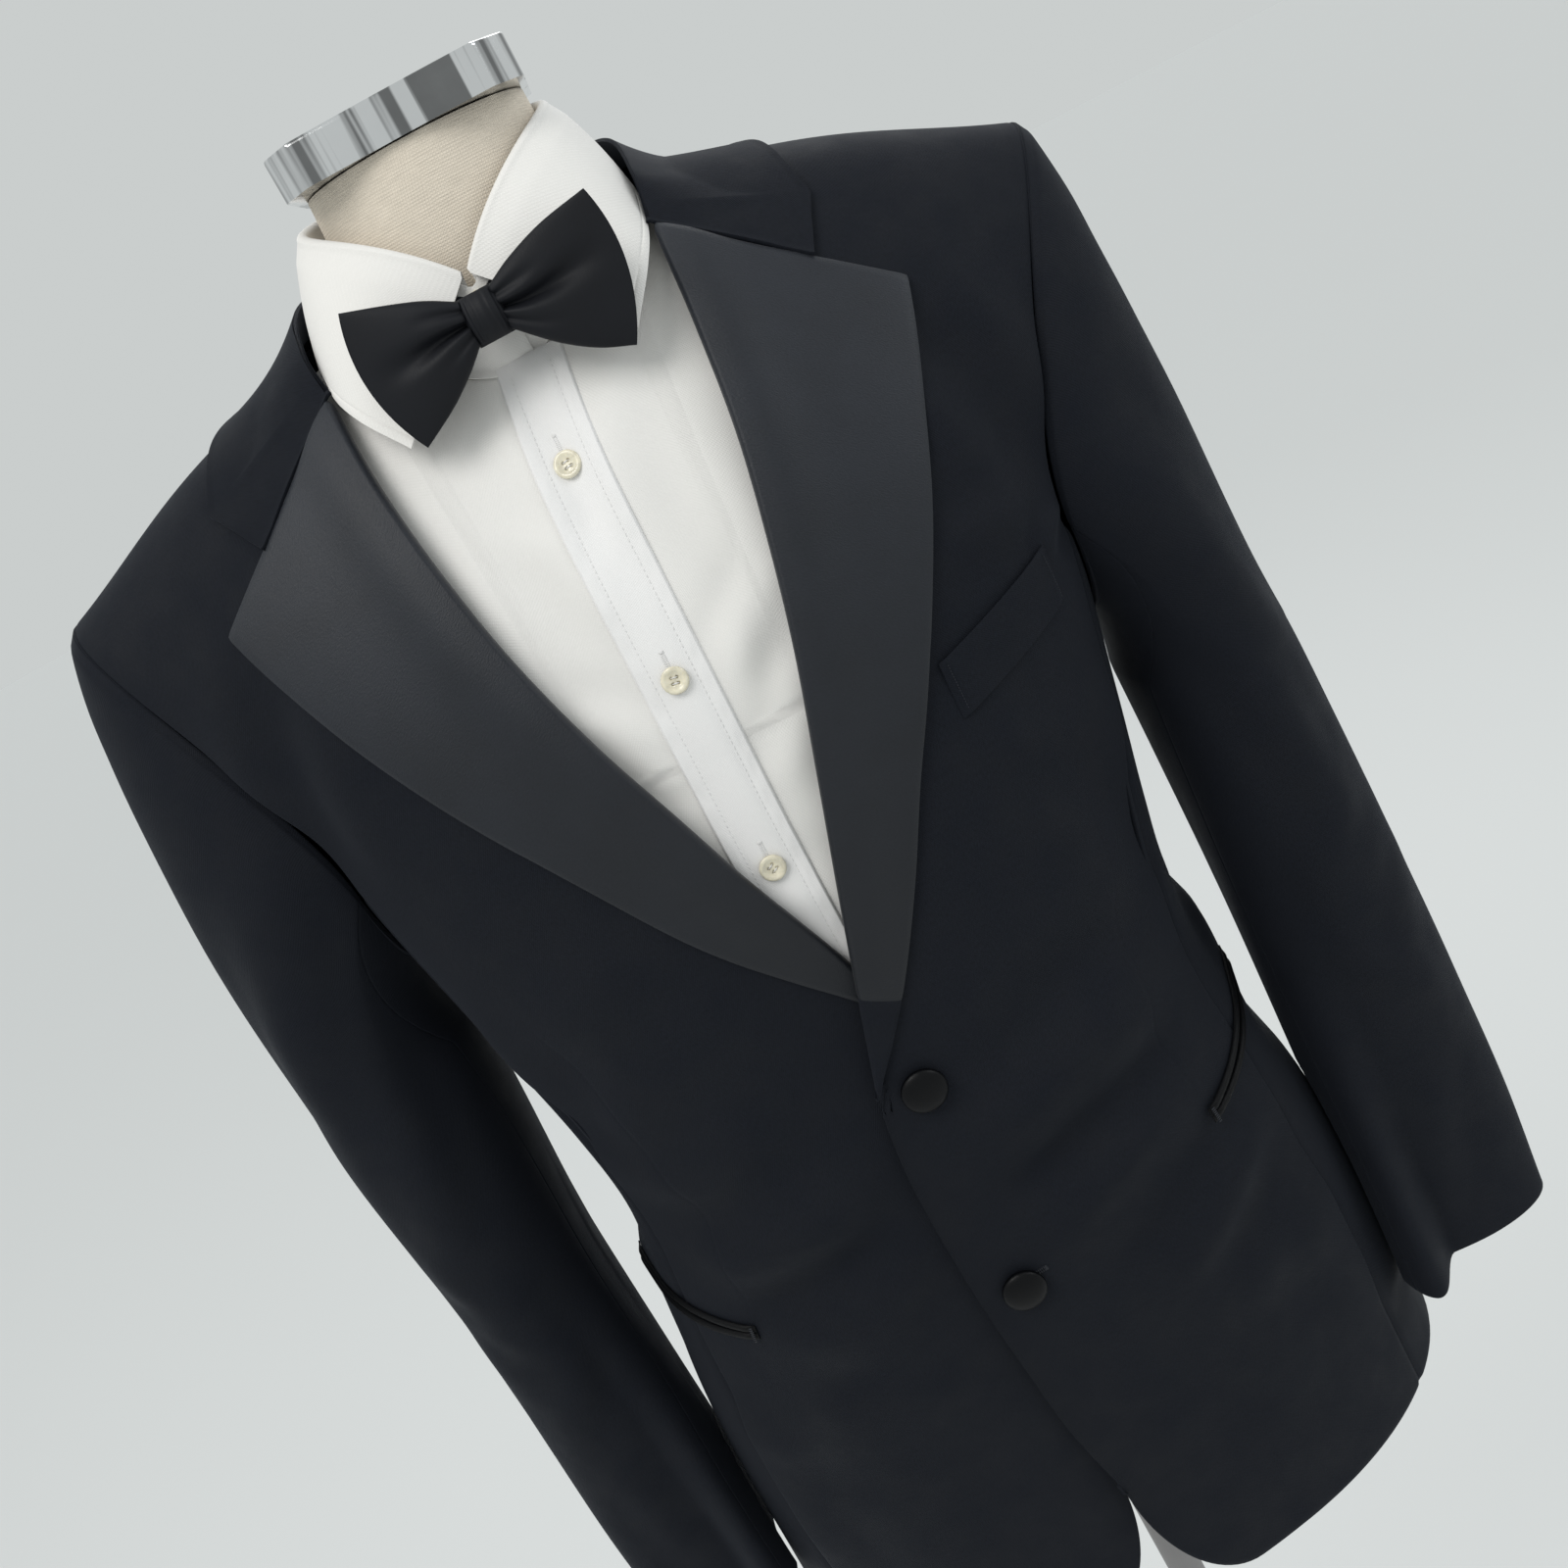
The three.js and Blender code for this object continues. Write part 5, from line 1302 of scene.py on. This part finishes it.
def placket_points():
    edge = PLACKET_HALF + 0.5
    xs = np.concatenate([[-edge], crowded(30, 0.8, -PLACKET_HALF, PLACKET_HALF), [edge]])
    zs = np.linspace(SHIRT_HEM_Z, PLACKET_TOP_Z, 200)
    side_way, z = grid(xs, zs)
    x = side_way + column(PLACKET_PATH, "x", z)
    folds = crease_scale() * creases(SHIRT_FOLDS, x, z)
    across = np.abs(side_way)
    rise = 1.8 - 1.3 * (1 - ease(0, 1.0, edge - across))
    pucker = 0.22 * np.sin(z / 2.1) * bell(across, PLACKET_HALF - 3.0, 1.4)
    stitched = -0.45 * bell(across, PLACKET_HALF - STITCH_IN, 0.8)
    p = front_offset(LEFT, x, z, SHIRT_FACE + folds + rise + pucker + stitched)
    return p + stack(0 * x, lap(LEFT, x, z), 0 * x)


def shirt_button(name, point, normal, radius, turn):
    """A four-hole button with a raised rim, a dished middle and thread in its holes."""
    r = radius
    profile = [(0, 0.0), (r * 0.72, 0), (r * 0.96, 0.7), (r, 1.25), (r * 0.97, 1.75), (r * 0.88, 2.1)]
    profile += [(r * 0.76, 2.15), (r * 0.66, 1.85), (r * 0.5, 1.45), (r * 0.25, 1.3), (0, 1.28)]
    place = facing(point, normal) @ Matrix.Rotation(turn, 4, "Z")
    button = spun(name + "_pearl", profile, place, 48, "pearl")
    cutter_mesh = bmesh.new()
    for x, y in ((1, 1), (1, -1), (-1, 1), (-1, -1)):
        spot = Matrix.Scale(MM, 4) @ place @ Matrix.Translation((x * r * 0.21, y * r * 0.21, 1.2))
        bmesh.ops.create_cone(
            cutter_mesh, cap_ends=True, segments=12, radius1=r * 0.115, radius2=r * 0.115, depth=1.6, matrix=spot,
        )
    cutter = finish_mesh(name + "_holes", cutter_mesh, [finish("pearl")])
    hole = button.modifiers.new("holes", "BOOLEAN")
    hole.operation, hole.object, hole.solver = "DIFFERENCE", cutter, "EXACT"
    bpy.context.view_layer.update()
    shaped = bpy.data.meshes.new_from_object(button.evaluated_get(bpy.context.evaluated_depsgraph_get()))
    button.modifiers.clear()
    button.data = shaped
    bpy.data.objects.remove(cutter)
    return button


def button_threads(bm, point, normal, radius, turn):
    place = facing(point, normal) @ Matrix.Rotation(turn, 4, "Z")
    for y in (1, -1):
        middle = place @ Vector((0, y * radius * 0.21, 1.5))
        add_stitch(bm, middle, normal, place.to_3x3() @ Vector((1, 0, 0)), radius * 0.62, 0.55)


class TUXEDO_OT_shirt_body(Piece, bpy.types.Operator):
    """Lay the shirt's fronts and back on the form"""
    bl_idname = "tuxedo.shirt_body"
    bl_label = "Shirt Body"

    def execute(self, context):
        for side, word in WORD.items():
            sew(f"shirt_front_{word}", "cotton", shirt_points(side), side)
        u, v = grid(np.linspace(0, 1, 40), joined(np.linspace(0, 1, 40), np.linspace(0, 1, 30)))
        half = shirt_panel(1, u, v, True)
        half[..., 0] = np.maximum(half[..., 0] - SEAM_GAP * (1 - u), 0)
        whole = np.concatenate([mirrored(RIGHT, half)[:, ::-1], half[:, 1:]], axis=1)
        sew("shirt_back", "cotton", lift(whole, -1, SHIRT_FACE), -1)
        return {"FINISHED"}


class TUXEDO_OT_shirt_placket(Piece, bpy.types.Operator):
    """Fold the shirt's front band and stitch both its edges"""
    bl_idname = "tuxedo.shirt_placket"
    bl_label = "Shirt Front Band"

    def execute(self, context):
        p = placket_points()
        LAID["placket"] = Laid(p, 1)
        sew("shirt_placket", "placket", p, 1)
        bm = bmesh.new()
        stitch = context.scene.tuxedo_sizes.stitch / MM
        for x in (-PLACKET_HALF + STITCH_IN, PLACKET_HALF - STITCH_IN):
            path = [(x + float(column(PLACKET_PATH, "x", z)), z) for z in np.arange(1150, 1456, 3.0)]
            line = [LAID["placket"].spot(*at, 0.12) for at in path]
            stitch_line(bm, line, stitch * 1.35, stitch, 0.42)
        thread_piece("placket_stitching", bm, "white_thread", "shirting")
        return {"FINISHED"}


class TUXEDO_OT_shirt_buttons(Piece, bpy.types.Operator):
    """Turn the pearl buttons, sew them on and work their buttonholes"""
    bl_idname = "tuxedo.shirt_buttons"
    bl_label = "Shirt Buttons"

    def execute(self, context):
        laid = LAID["placket"]
        radius = context.scene.tuxedo_sizes.shirt_button / MM
        threads, holes = bmesh.new(), bmesh.new()
        places = []
        for number, (z, turn) in enumerate(SHIRT_BUTTONS, 1):
            x = float(column(PLACKET_PATH, "x", z))
            places.append((number, *laid.spot(x, z, 0.3), radius, turn))
            buttonhole(holes, laid, x, z + 4.5, (0.02, 1), 15, 0.55, 0.05)
        places.append(("top", Vector((0, -BAND["front"] - 1.4, 1484)), Vector((0, -1, 0)), 4.6, 0.4))
        for word, *place in places:
            node = f"shirt_button_{word}"
            settle(shirt_button(node, *place), "pearl", node)
            button_threads(threads, *place)
        thread_piece("shirt_button_threads", threads, "white_thread", "shirting")
        thread_piece("shirt_buttonholes", holes, "white_thread", "shirting")
        return {"FINISHED"}


def leaf_points():
    """The collar's fall: from inside the fold, over it and down to its edge and points."""
    us = joined(crowded(90, 0.6), crowded(90, 0.6))
    inside, round_fold = np.array([-3.0, -2.4, -2.0]), np.linspace(-1.8, 0, 9)
    vs = np.unique(np.concatenate([inside, round_fold, np.linspace(0, 1, 34), np.linspace(0.92, 0.96, 7)]))
    u, v = grid(us, vs)
    side, share = np.where(u <= 1, 1, -1), np.where(u <= 1, u, 2 - u)
    angle = lerp(2, 180, np.maximum(share, 0) ** 1.15)
    fold, edge = neck_ring(angle, 0.7, fold_z(angle) + 0.3), LEAF_EDGE(share)
    down = np.clip(v, 0, 1)
    turn = np.minimum(down / 0.15, 1)
    leaf = lerp(fold, edge, down[..., None])
    swell = 1.0 + 1.6 * np.sin(np.pi * down) * (0.4 + 0.6 * ease(0, 0.25, share))
    radial = stack(np.sin(np.radians(angle)), -np.cos(np.radians(angle)), 0 * angle)
    swell = swell - 0.55 * bell(down, 0.94, 0.008)
    leaf = leaf + radial * (1.4 * turn + swell)[..., None]
    a = np.pi * np.clip(-v / 1.8, 0, 1)
    over_fold = neck_ring(angle, 1.7 - 1.9 * (1 - np.cos(a)), fold_z(angle) + 0.3 + 1.9 * np.sin(a))
    over_fold[..., 2] -= 7 * np.clip(-v - 1.8, 0, 2)
    p = np.where((v < 0)[..., None], over_fold, leaf)
    return stack(side * p[..., 0], p[..., 1], p[..., 2])


class TUXEDO_OT_shirt_collar(Piece, bpy.types.Operator):
    """Fold the shirt's collar over its band"""
    bl_idname = "tuxedo.shirt_collar"
    bl_label = "Shirt Collar"

    def execute(self, context):
        sew("shirt_collar", "cotton", leaf_points(), 1)
        rows_up = np.concatenate([[-1, -0.66, -0.33], np.linspace(0, 1, 14)])
        angle, v = grid(np.linspace(-9, 369, 156), rows_up)
        turn = np.where(angle > 180, angle - 360, angle)
        tuck = np.maximum(-v, 0)
        out = 2.2 * tuck + 1.2 * ease(336, 350, angle)
        z = lerp(band_foot_z(turn), fold_z(turn) - 3, np.maximum(v, 0)) - 3.5 * tuck
        sew("shirt_collar_band", "cotton", neck_ring(angle, out, z), 1)
        return {"FINISHED"}


# The bow tie

KNOT = {"x": 0.6, "y": -79.5, "z": 1478.3, "width": 8.5, "depth": 12.6, "high": 9.6}
# Each wing's top and lower edge, as x and z from the knot to the tip
WING_EDGES = {
    LEFT: (
        ((7.0, 1487.2), (19, 1492.8), (35.4, 1498), (55.6, 1501.4)),
        ((7.0, 1470), (20.2, 1457.4), (33, 1448.6), (46.5, 1442.9)),
    ),
    RIGHT: (
        ((6.0, 1487.4), (17.6, 1493.6), (31.2, 1498.6), (47.4, 1503.7)),
        ((6.5, 1469.8), (15, 1462.6), (27, 1454.4), (43.5, 1445.9)),
    ),
}


def wing_points(side):
    """A wing as a closed loop round its folded layers, from the knot to its tip."""
    top, foot = (through(*[(x, 0, z) for x, z in edge]) for edge in WING_EDGES[side])
    t, a = grid(np.linspace(0, 1, 52), np.linspace(0, 360, 121))
    t, a = t.T, a.T
    turn = np.radians(-side * a)
    up, front = np.sin(turn), np.cos(turn)
    spread = lerp(foot(t), top(t), ((up + 1) / 2)[..., None])
    x, z = spread[..., 0] + 6.6 * t * t * (1 - up * up), spread[..., 2]
    thick = lerp(2.6, 1.5, t) + 3.4 * np.sin(np.pi * np.clip(t, 0, 1) ** 0.8)
    flat = np.sign(front) * np.abs(front) ** 0.7
    middle = (0.3 if side > 0 else 0.0) * t
    seen = ease(0, 0.3, front)
    pleat = 5.2 * (1 - ease(0.45, 1.0, t)) * bell(up, middle, 0.11 + 0.1 * t)
    tucks = 1.5 * (1 - ease(0.15, 0.6, t)) * (bell(up, 0.55, 0.12) + 0.8 * bell(up, -0.5, 0.12))
    y = lerp(-86.3, -86.8, t) - flat * thick + (pleat + tucks) * seen
    return stack(side * x, y, z)


def knot_points():
    v, a = grid(np.linspace(0, 1, 30), np.linspace(0, 360, 81))
    v, a = v.T, a.T
    round_end = np.sqrt(np.clip(1 - (1.6 * v - 0.8) ** 2, 0, 1))
    turn = np.radians(a)
    cx, cy = np.sin(turn), -np.cos(turn)
    wrap = 1 + 0.022 * np.sin(3.1 * KNOT["width"] * cx)
    wrap = wrap + 0.03 * bell(cx, 0.35, 0.12) - 0.035 * bell(cx, -0.25, 0.1)
    x = KNOT["x"] + KNOT["width"] * np.sign(cx) * np.abs(cx) ** 0.7 * lerp(0.85, 1, round_end) * wrap
    y = KNOT["y"] + KNOT["depth"] * np.sign(cy) * np.abs(cy) ** 0.7 * round_end * wrap
    return stack(x, y, KNOT["z"] + KNOT["high"] * (2 * v - 1))


class TUXEDO_OT_bow_tie(Piece, bpy.types.Operator):
    """Fold the bow tie's wings, wrap its knot and lay its band"""
    bl_idname = "tuxedo.bow_tie"
    bl_label = "Bow Tie"

    def execute(self, context):
        for side, word in WORD.items():
            self.fold(f"bow_wing_{word}", wing_points(side), ["bow_knot"])
        self.fold("bow_knot", knot_points(), ["bow_wing_left_satin", "bow_wing_right_satin"])
        angle, v = grid(np.linspace(3, 357, 120), np.linspace(0, 1, 6))
        turn = np.where(angle > 180, 360 - angle, angle)
        middle = fold_z(turn) - lerp(13.5, 27, ease(0, 30, turn))
        out = 2.1 + 0.9 * (1 - ease(3, 24, turn))
        p = neck_ring(angle, out, middle + 11 * (v - 0.5))
        sew("bow_band", "tie", p, 1, 0.9)
        return {"FINISHED"}

    @staticmethod
    def fold(node, points, rests_on):
        piece = grid_mesh(node + "_satin", points, 1, [finish("tie")], closed=True)
        settle(piece, "tie_satin", node)
        flat, area = cut_size(points)
        max(area / 2, 0.31 * flat[0] * flat[1])
        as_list(rests_on)


# What it stands on

NECK_LEAN = 2.4
CAP = {"half": 53.5, "foot": 1.5503, "high": 0.0175, "edge": 0.0016}


class TUXEDO_OT_dress_form(Piece, bpy.types.Operator):
    """Shape the linen torso and its chrome neck cap"""
    bl_idname = "tuxedo.dress_form"
    bl_label = "Dress Form"

    def execute(self, context):
        heights = np.concatenate([np.linspace(850, 1440, 80), np.linspace(1444, 1550, 40)])
        angle, z = grid(np.linspace(0, 360, 121), heights)
        shape = section(FORM, z, angle) + stack(NECK_LEAN * ease(1490, 1550, z), 0, 0)
        torso = grid_mesh("form_torso_linen", shape, 1, [finish("linen")], closed=True)
        settle(torso, "linen", "form_torso")
        rounded(torso, 0.0004, 60)
        bm = bmesh.new()
        front = [(x, -49.4 - 1.6 * (1 - (x / 41) ** 2)) for x in np.linspace(-41, 41, 11)]
        flank = [(CAP["half"], y) for y in np.linspace(-36, 36, 5)]
        outline = front + flank + [(-x, -y) for x, y in front] + [(-x, -y) for x, y in flank]
        foot = bm.faces.new([bm.verts.new(((x + NECK_LEAN) * MM, y * MM, CAP["foot"])) for x, y in outline])
        raised = bmesh.ops.extrude_face_region(bm, geom=[foot])["geom"]
        top = [v for v in raised if isinstance(v, bmesh.types.BMVert)]
        bmesh.ops.translate(bm, vec=(0, 0, CAP["high"]), verts=top)
        bmesh.ops.recalc_face_normals(bm, faces=bm.faces)
        above = CAP["foot"] + CAP["high"] / 2
        turns = [e for e in bm.edges if e.calc_face_angle(0.0) > math.radians(30)]
        sharp = [e for e in turns if max(v.co.z for v in e.verts) > above]
        bmesh.ops.bevel(
            bm, geom=sharp, offset=CAP["edge"], segments=4, profile=0.5, affect="EDGES", material=-1,
        )
        cap = finish_mesh("neck_cap_chrome", bm, [finish("chrome")])
        settle(cap, "chrome", "neck_cap")
        return {"FINISHED"}


class TUXEDO_OT_stand(Piece, bpy.types.Operator):
    """Turn the pole, its collar and the round base"""
    bl_idname = "tuxedo.stand"
    bl_label = "Stand"

    def execute(self, context):
        foot, top = 20.3, 849.7
        still = Matrix.Identity(4)
        pole = [(0, foot), (9.4, foot), (10, foot + 0.6), (10, top - 0.6), (9.4, top), (0, top)]
        collar = [(10.3, 735), (13.2, 735), (13.8, 735.4), (14, 736.2), (14, top), (10.3, top), (10.3, 735)]
        base = [(0, 0), (163, 0), (164.6, 0.8), (165, 2.2), (165, 10.4), (164.4, 11.6), (163, 12.4), (130, 14.8)]
        base += [(99, 16.8), (60, 18.8), (24, 19.8), (20, 20), (0, 20)]
        for name, profile, steps, key in (
            ("pole", pole, 48, "steel"), ("pole_collar", collar, 48, "sleeve_steel"), ("base", base, 128, "steel"),
        ):
            settle(spun(name + "_steel", profile, still, steps, key), "steel", name)
        return {"FINISHED"}


CAMERA = {"place": (47.9, -705.5, 1474.7), "yaw": -2.97, "pitch": 19.44, "roll": -28.4, "lens": 35.37}
ROOM_COLOR = (0.59, 0.615, 0.61, 1)
# Each light's place, what it looks at, its size in metres, its power and its colour
LIGHTS = (
    ("key light", (-0.9, -1.3, 3.2), (0.0, 0.0, 1.25), 1.3, 30.0, (1.0, 0.985, 0.96)),
    ("side light", (2.3, -0.5, 2.5), (0.0, 0.0, 1.2), 1.2, 13.0, (0.93, 0.96, 1.0)),
    ("back light", (0.6, 2.0, 3.0), (0.0, 0.0, 1.3), 1.4, 22.0, (1.0, 1.0, 1.0)),
)


class TUXEDO_OT_stage(Piece, bpy.types.Operator):
    """Set the camera, the soft lights and the plain pale floor"""
    bl_idname = "tuxedo.stage"
    bl_label = "Stage"

    def execute(self, context):
        scene = context.scene
        scene.view_settings.view_transform = "Standard"
        yaw, pitch, roll = (math.radians(CAMERA[k]) for k in ("yaw", "pitch", "roll"))
        ahead = Vector((math.sin(yaw) * math.cos(pitch), math.cos(yaw) * math.cos(pitch), -math.sin(pitch)))
        level = Vector((math.cos(yaw), -math.sin(yaw), 0))
        above = level.cross(ahead)
        right = math.cos(roll) * level + math.sin(roll) * above
        up = -math.sin(roll) * level + math.cos(roll) * above
        lens = bpy.data.cameras.new("camera")
        lens.lens, lens.sensor_width, lens.clip_start = CAMERA["lens"], 36.0, 0.02
        camera = bpy.data.objects.new("camera", lens)
        basis = Matrix((right, up, -ahead)).transposed().to_4x4()
        camera.matrix_world = Matrix.Translation(Vector(CAMERA["place"]) * MM) @ basis
        scene.collection.objects.link(camera)
        scene.camera = camera
        for name, place, aim, size, power, tint in LIGHTS:
            lamp = bpy.data.lights.new(name, "AREA")
            lamp.size, lamp.energy, lamp.color = size, power, tint
            light = bpy.data.objects.new(name, lamp)
            look = (Vector(aim) - Vector(place)).to_track_quat("-Z", "Y")
            light.matrix_world = Matrix.Translation(place) @ look.to_matrix().to_4x4()
            scene.collection.objects.link(light)
        self.world(scene)
        bm = bmesh.new()
        bmesh.ops.create_circle(bm, cap_ends=True, radius=30.0, segments=96)
        floor = finish_mesh("floor", bm, [self.floor_finish()])
        return {"FINISHED"}

    @staticmethod
    def floor_finish():
        f = Finish("pale floor", Specular_IOR_Level=0.1, Emission_Color=ROOM_COLOR, Emission_Strength=0.62)
        mottle = f.noise(f.place(), 1.4, 4.0, 0.5)
        color = bpy.context.scene.tuxedo_colors.floor
        shade = f.mix(mottle, rgba(color, 0.985), rgba(color, 1.015))
        return f.surface(Base_Color=shade, Roughness=f.range(mottle, 0, 1, 0.8, 0.9))

    @staticmethod
    def world(scene):
        world = bpy.data.worlds.new("soft room")
        scene.world = world
        world.use_nodes = True
        background = world.node_tree.nodes["Background"]
        background.inputs["Color"].default_value = ROOM_COLOR
        background.inputs["Strength"].default_value = scene.tuxedo_sizes.room_light


PIECES = (
    TUXEDO_OT_stage, TUXEDO_OT_dress_form, TUXEDO_OT_stand, TUXEDO_OT_shirt_body, TUXEDO_OT_shirt_placket,
    TUXEDO_OT_shirt_collar, TUXEDO_OT_shirt_buttons, TUXEDO_OT_jacket_fronts, TUXEDO_OT_jacket_sides,
    TUXEDO_OT_jacket_backs, TUXEDO_OT_sleeves, TUXEDO_OT_lapels, TUXEDO_OT_jacket_collar, TUXEDO_OT_pockets,
    TUXEDO_OT_jacket_buttons, TUXEDO_OT_bow_tie,
)


def length(name, about, default):
    return FloatProperty(name=name, description=about, default=default, min=0.0, unit="LENGTH", precision=4)


def shade(name, about, default):
    return FloatVectorProperty(
        name=name, description=about, default=default, subtype="COLOR", size=3, min=0.0, max=1.0,
    )


class TuxedoSizes(bpy.types.PropertyGroup):
    """Sizes of the cloth and trim"""
    wool: length("Wool", "Thickness of the jacket's cloth", 0.0016)
    satin: length("Satin", "Thickness of the satin facing with its lining cloth", 0.0016)
    cotton: length("Cotton", "Thickness of the shirt's cloth", 0.0009)
    stitch: length("Stitch", "Length of one stitch", 0.0019)
    jacket_button: length("Jacket Button", "Radius of the jacket's covered buttons", 0.0105)
    shirt_button: length("Shirt Button", "Radius of the shirt's pearl buttons", 0.0058)
    creases: FloatProperty(
        name="Creases", description="Depth of all creases, 1 as modelled", default=1.0, min=0.0, max=2.0,
    )
    room_light: FloatProperty(
        name="Room Light", description="Strength of the even light all round", default=1.0, min=0.0,
    )


class TuxedoColors(bpy.types.PropertyGroup):
    """Colours of the cloth and trim"""
    wool: shade("Wool", "The jacket's cloth", (0.0058, 0.0073, 0.0115))
    satin: shade("Satin", "The lapels", (0.0148, 0.0175, 0.0240))
    piping: shade("Piping", "The hip pockets' jets and the covered buttons", (0.0032, 0.0036, 0.0052))
    tie: shade("Tie", "The bow tie", (0.0052, 0.0060, 0.0088))
    cotton: shade("Cotton", "The shirt", (0.84, 0.825, 0.80))
    placket: shade("Front Band", "The shirt's front band", (0.875, 0.865, 0.86))
    linen: shade("Linen", "The form's cover", (0.78, 0.70, 0.59))
    chrome: shade("Chrome", "The neck cap", (0.82, 0.83, 0.84))
    steel: shade("Steel", "The pole and the base", (0.30, 0.29, 0.29))
    pearl: shade("Pearl", "The shirt's buttons", (0.76, 0.71, 0.56))
    floor: shade("Floor", "The plain floor", (0.36, 0.365, 0.365))


class TUXEDO_PT_panel(bpy.types.Panel):
    """Lists the pieces, sizes and colours"""
    bl_idname = "TUXEDO_PT_panel"
    bl_label = "Tuxedo"
    bl_space_type = "VIEW_3D"
    bl_region_type = "UI"
    bl_category = "Tuxedo"

    def draw(self, context):
        for piece in PIECES:
            self.layout.operator(piece.bl_idname)
        for group in (context.scene.tuxedo_sizes, context.scene.tuxedo_colors):
            box = self.layout.box()
            for name in group.__annotations__:
                box.prop(group, name)


CLASSES = (TuxedoSizes, TuxedoColors, *PIECES, TUXEDO_PT_panel)


def register():
    for cls in CLASSES:
        bpy.utils.register_class(cls)
    bpy.types.Scene.tuxedo_sizes = PointerProperty(type=TuxedoSizes)
    bpy.types.Scene.tuxedo_colors = PointerProperty(type=TuxedoColors)


def unregister():
    del bpy.types.Scene.tuxedo_colors
    del bpy.types.Scene.tuxedo_sizes
    for cls in reversed(CLASSES):
        bpy.utils.unregister_class(cls)


def main():
    register()
    for piece in PIECES:
        group, name = piece.bl_idname.split(".")
        getattr(getattr(bpy.ops, group), name)()


if __name__ == "__main__":
    main()
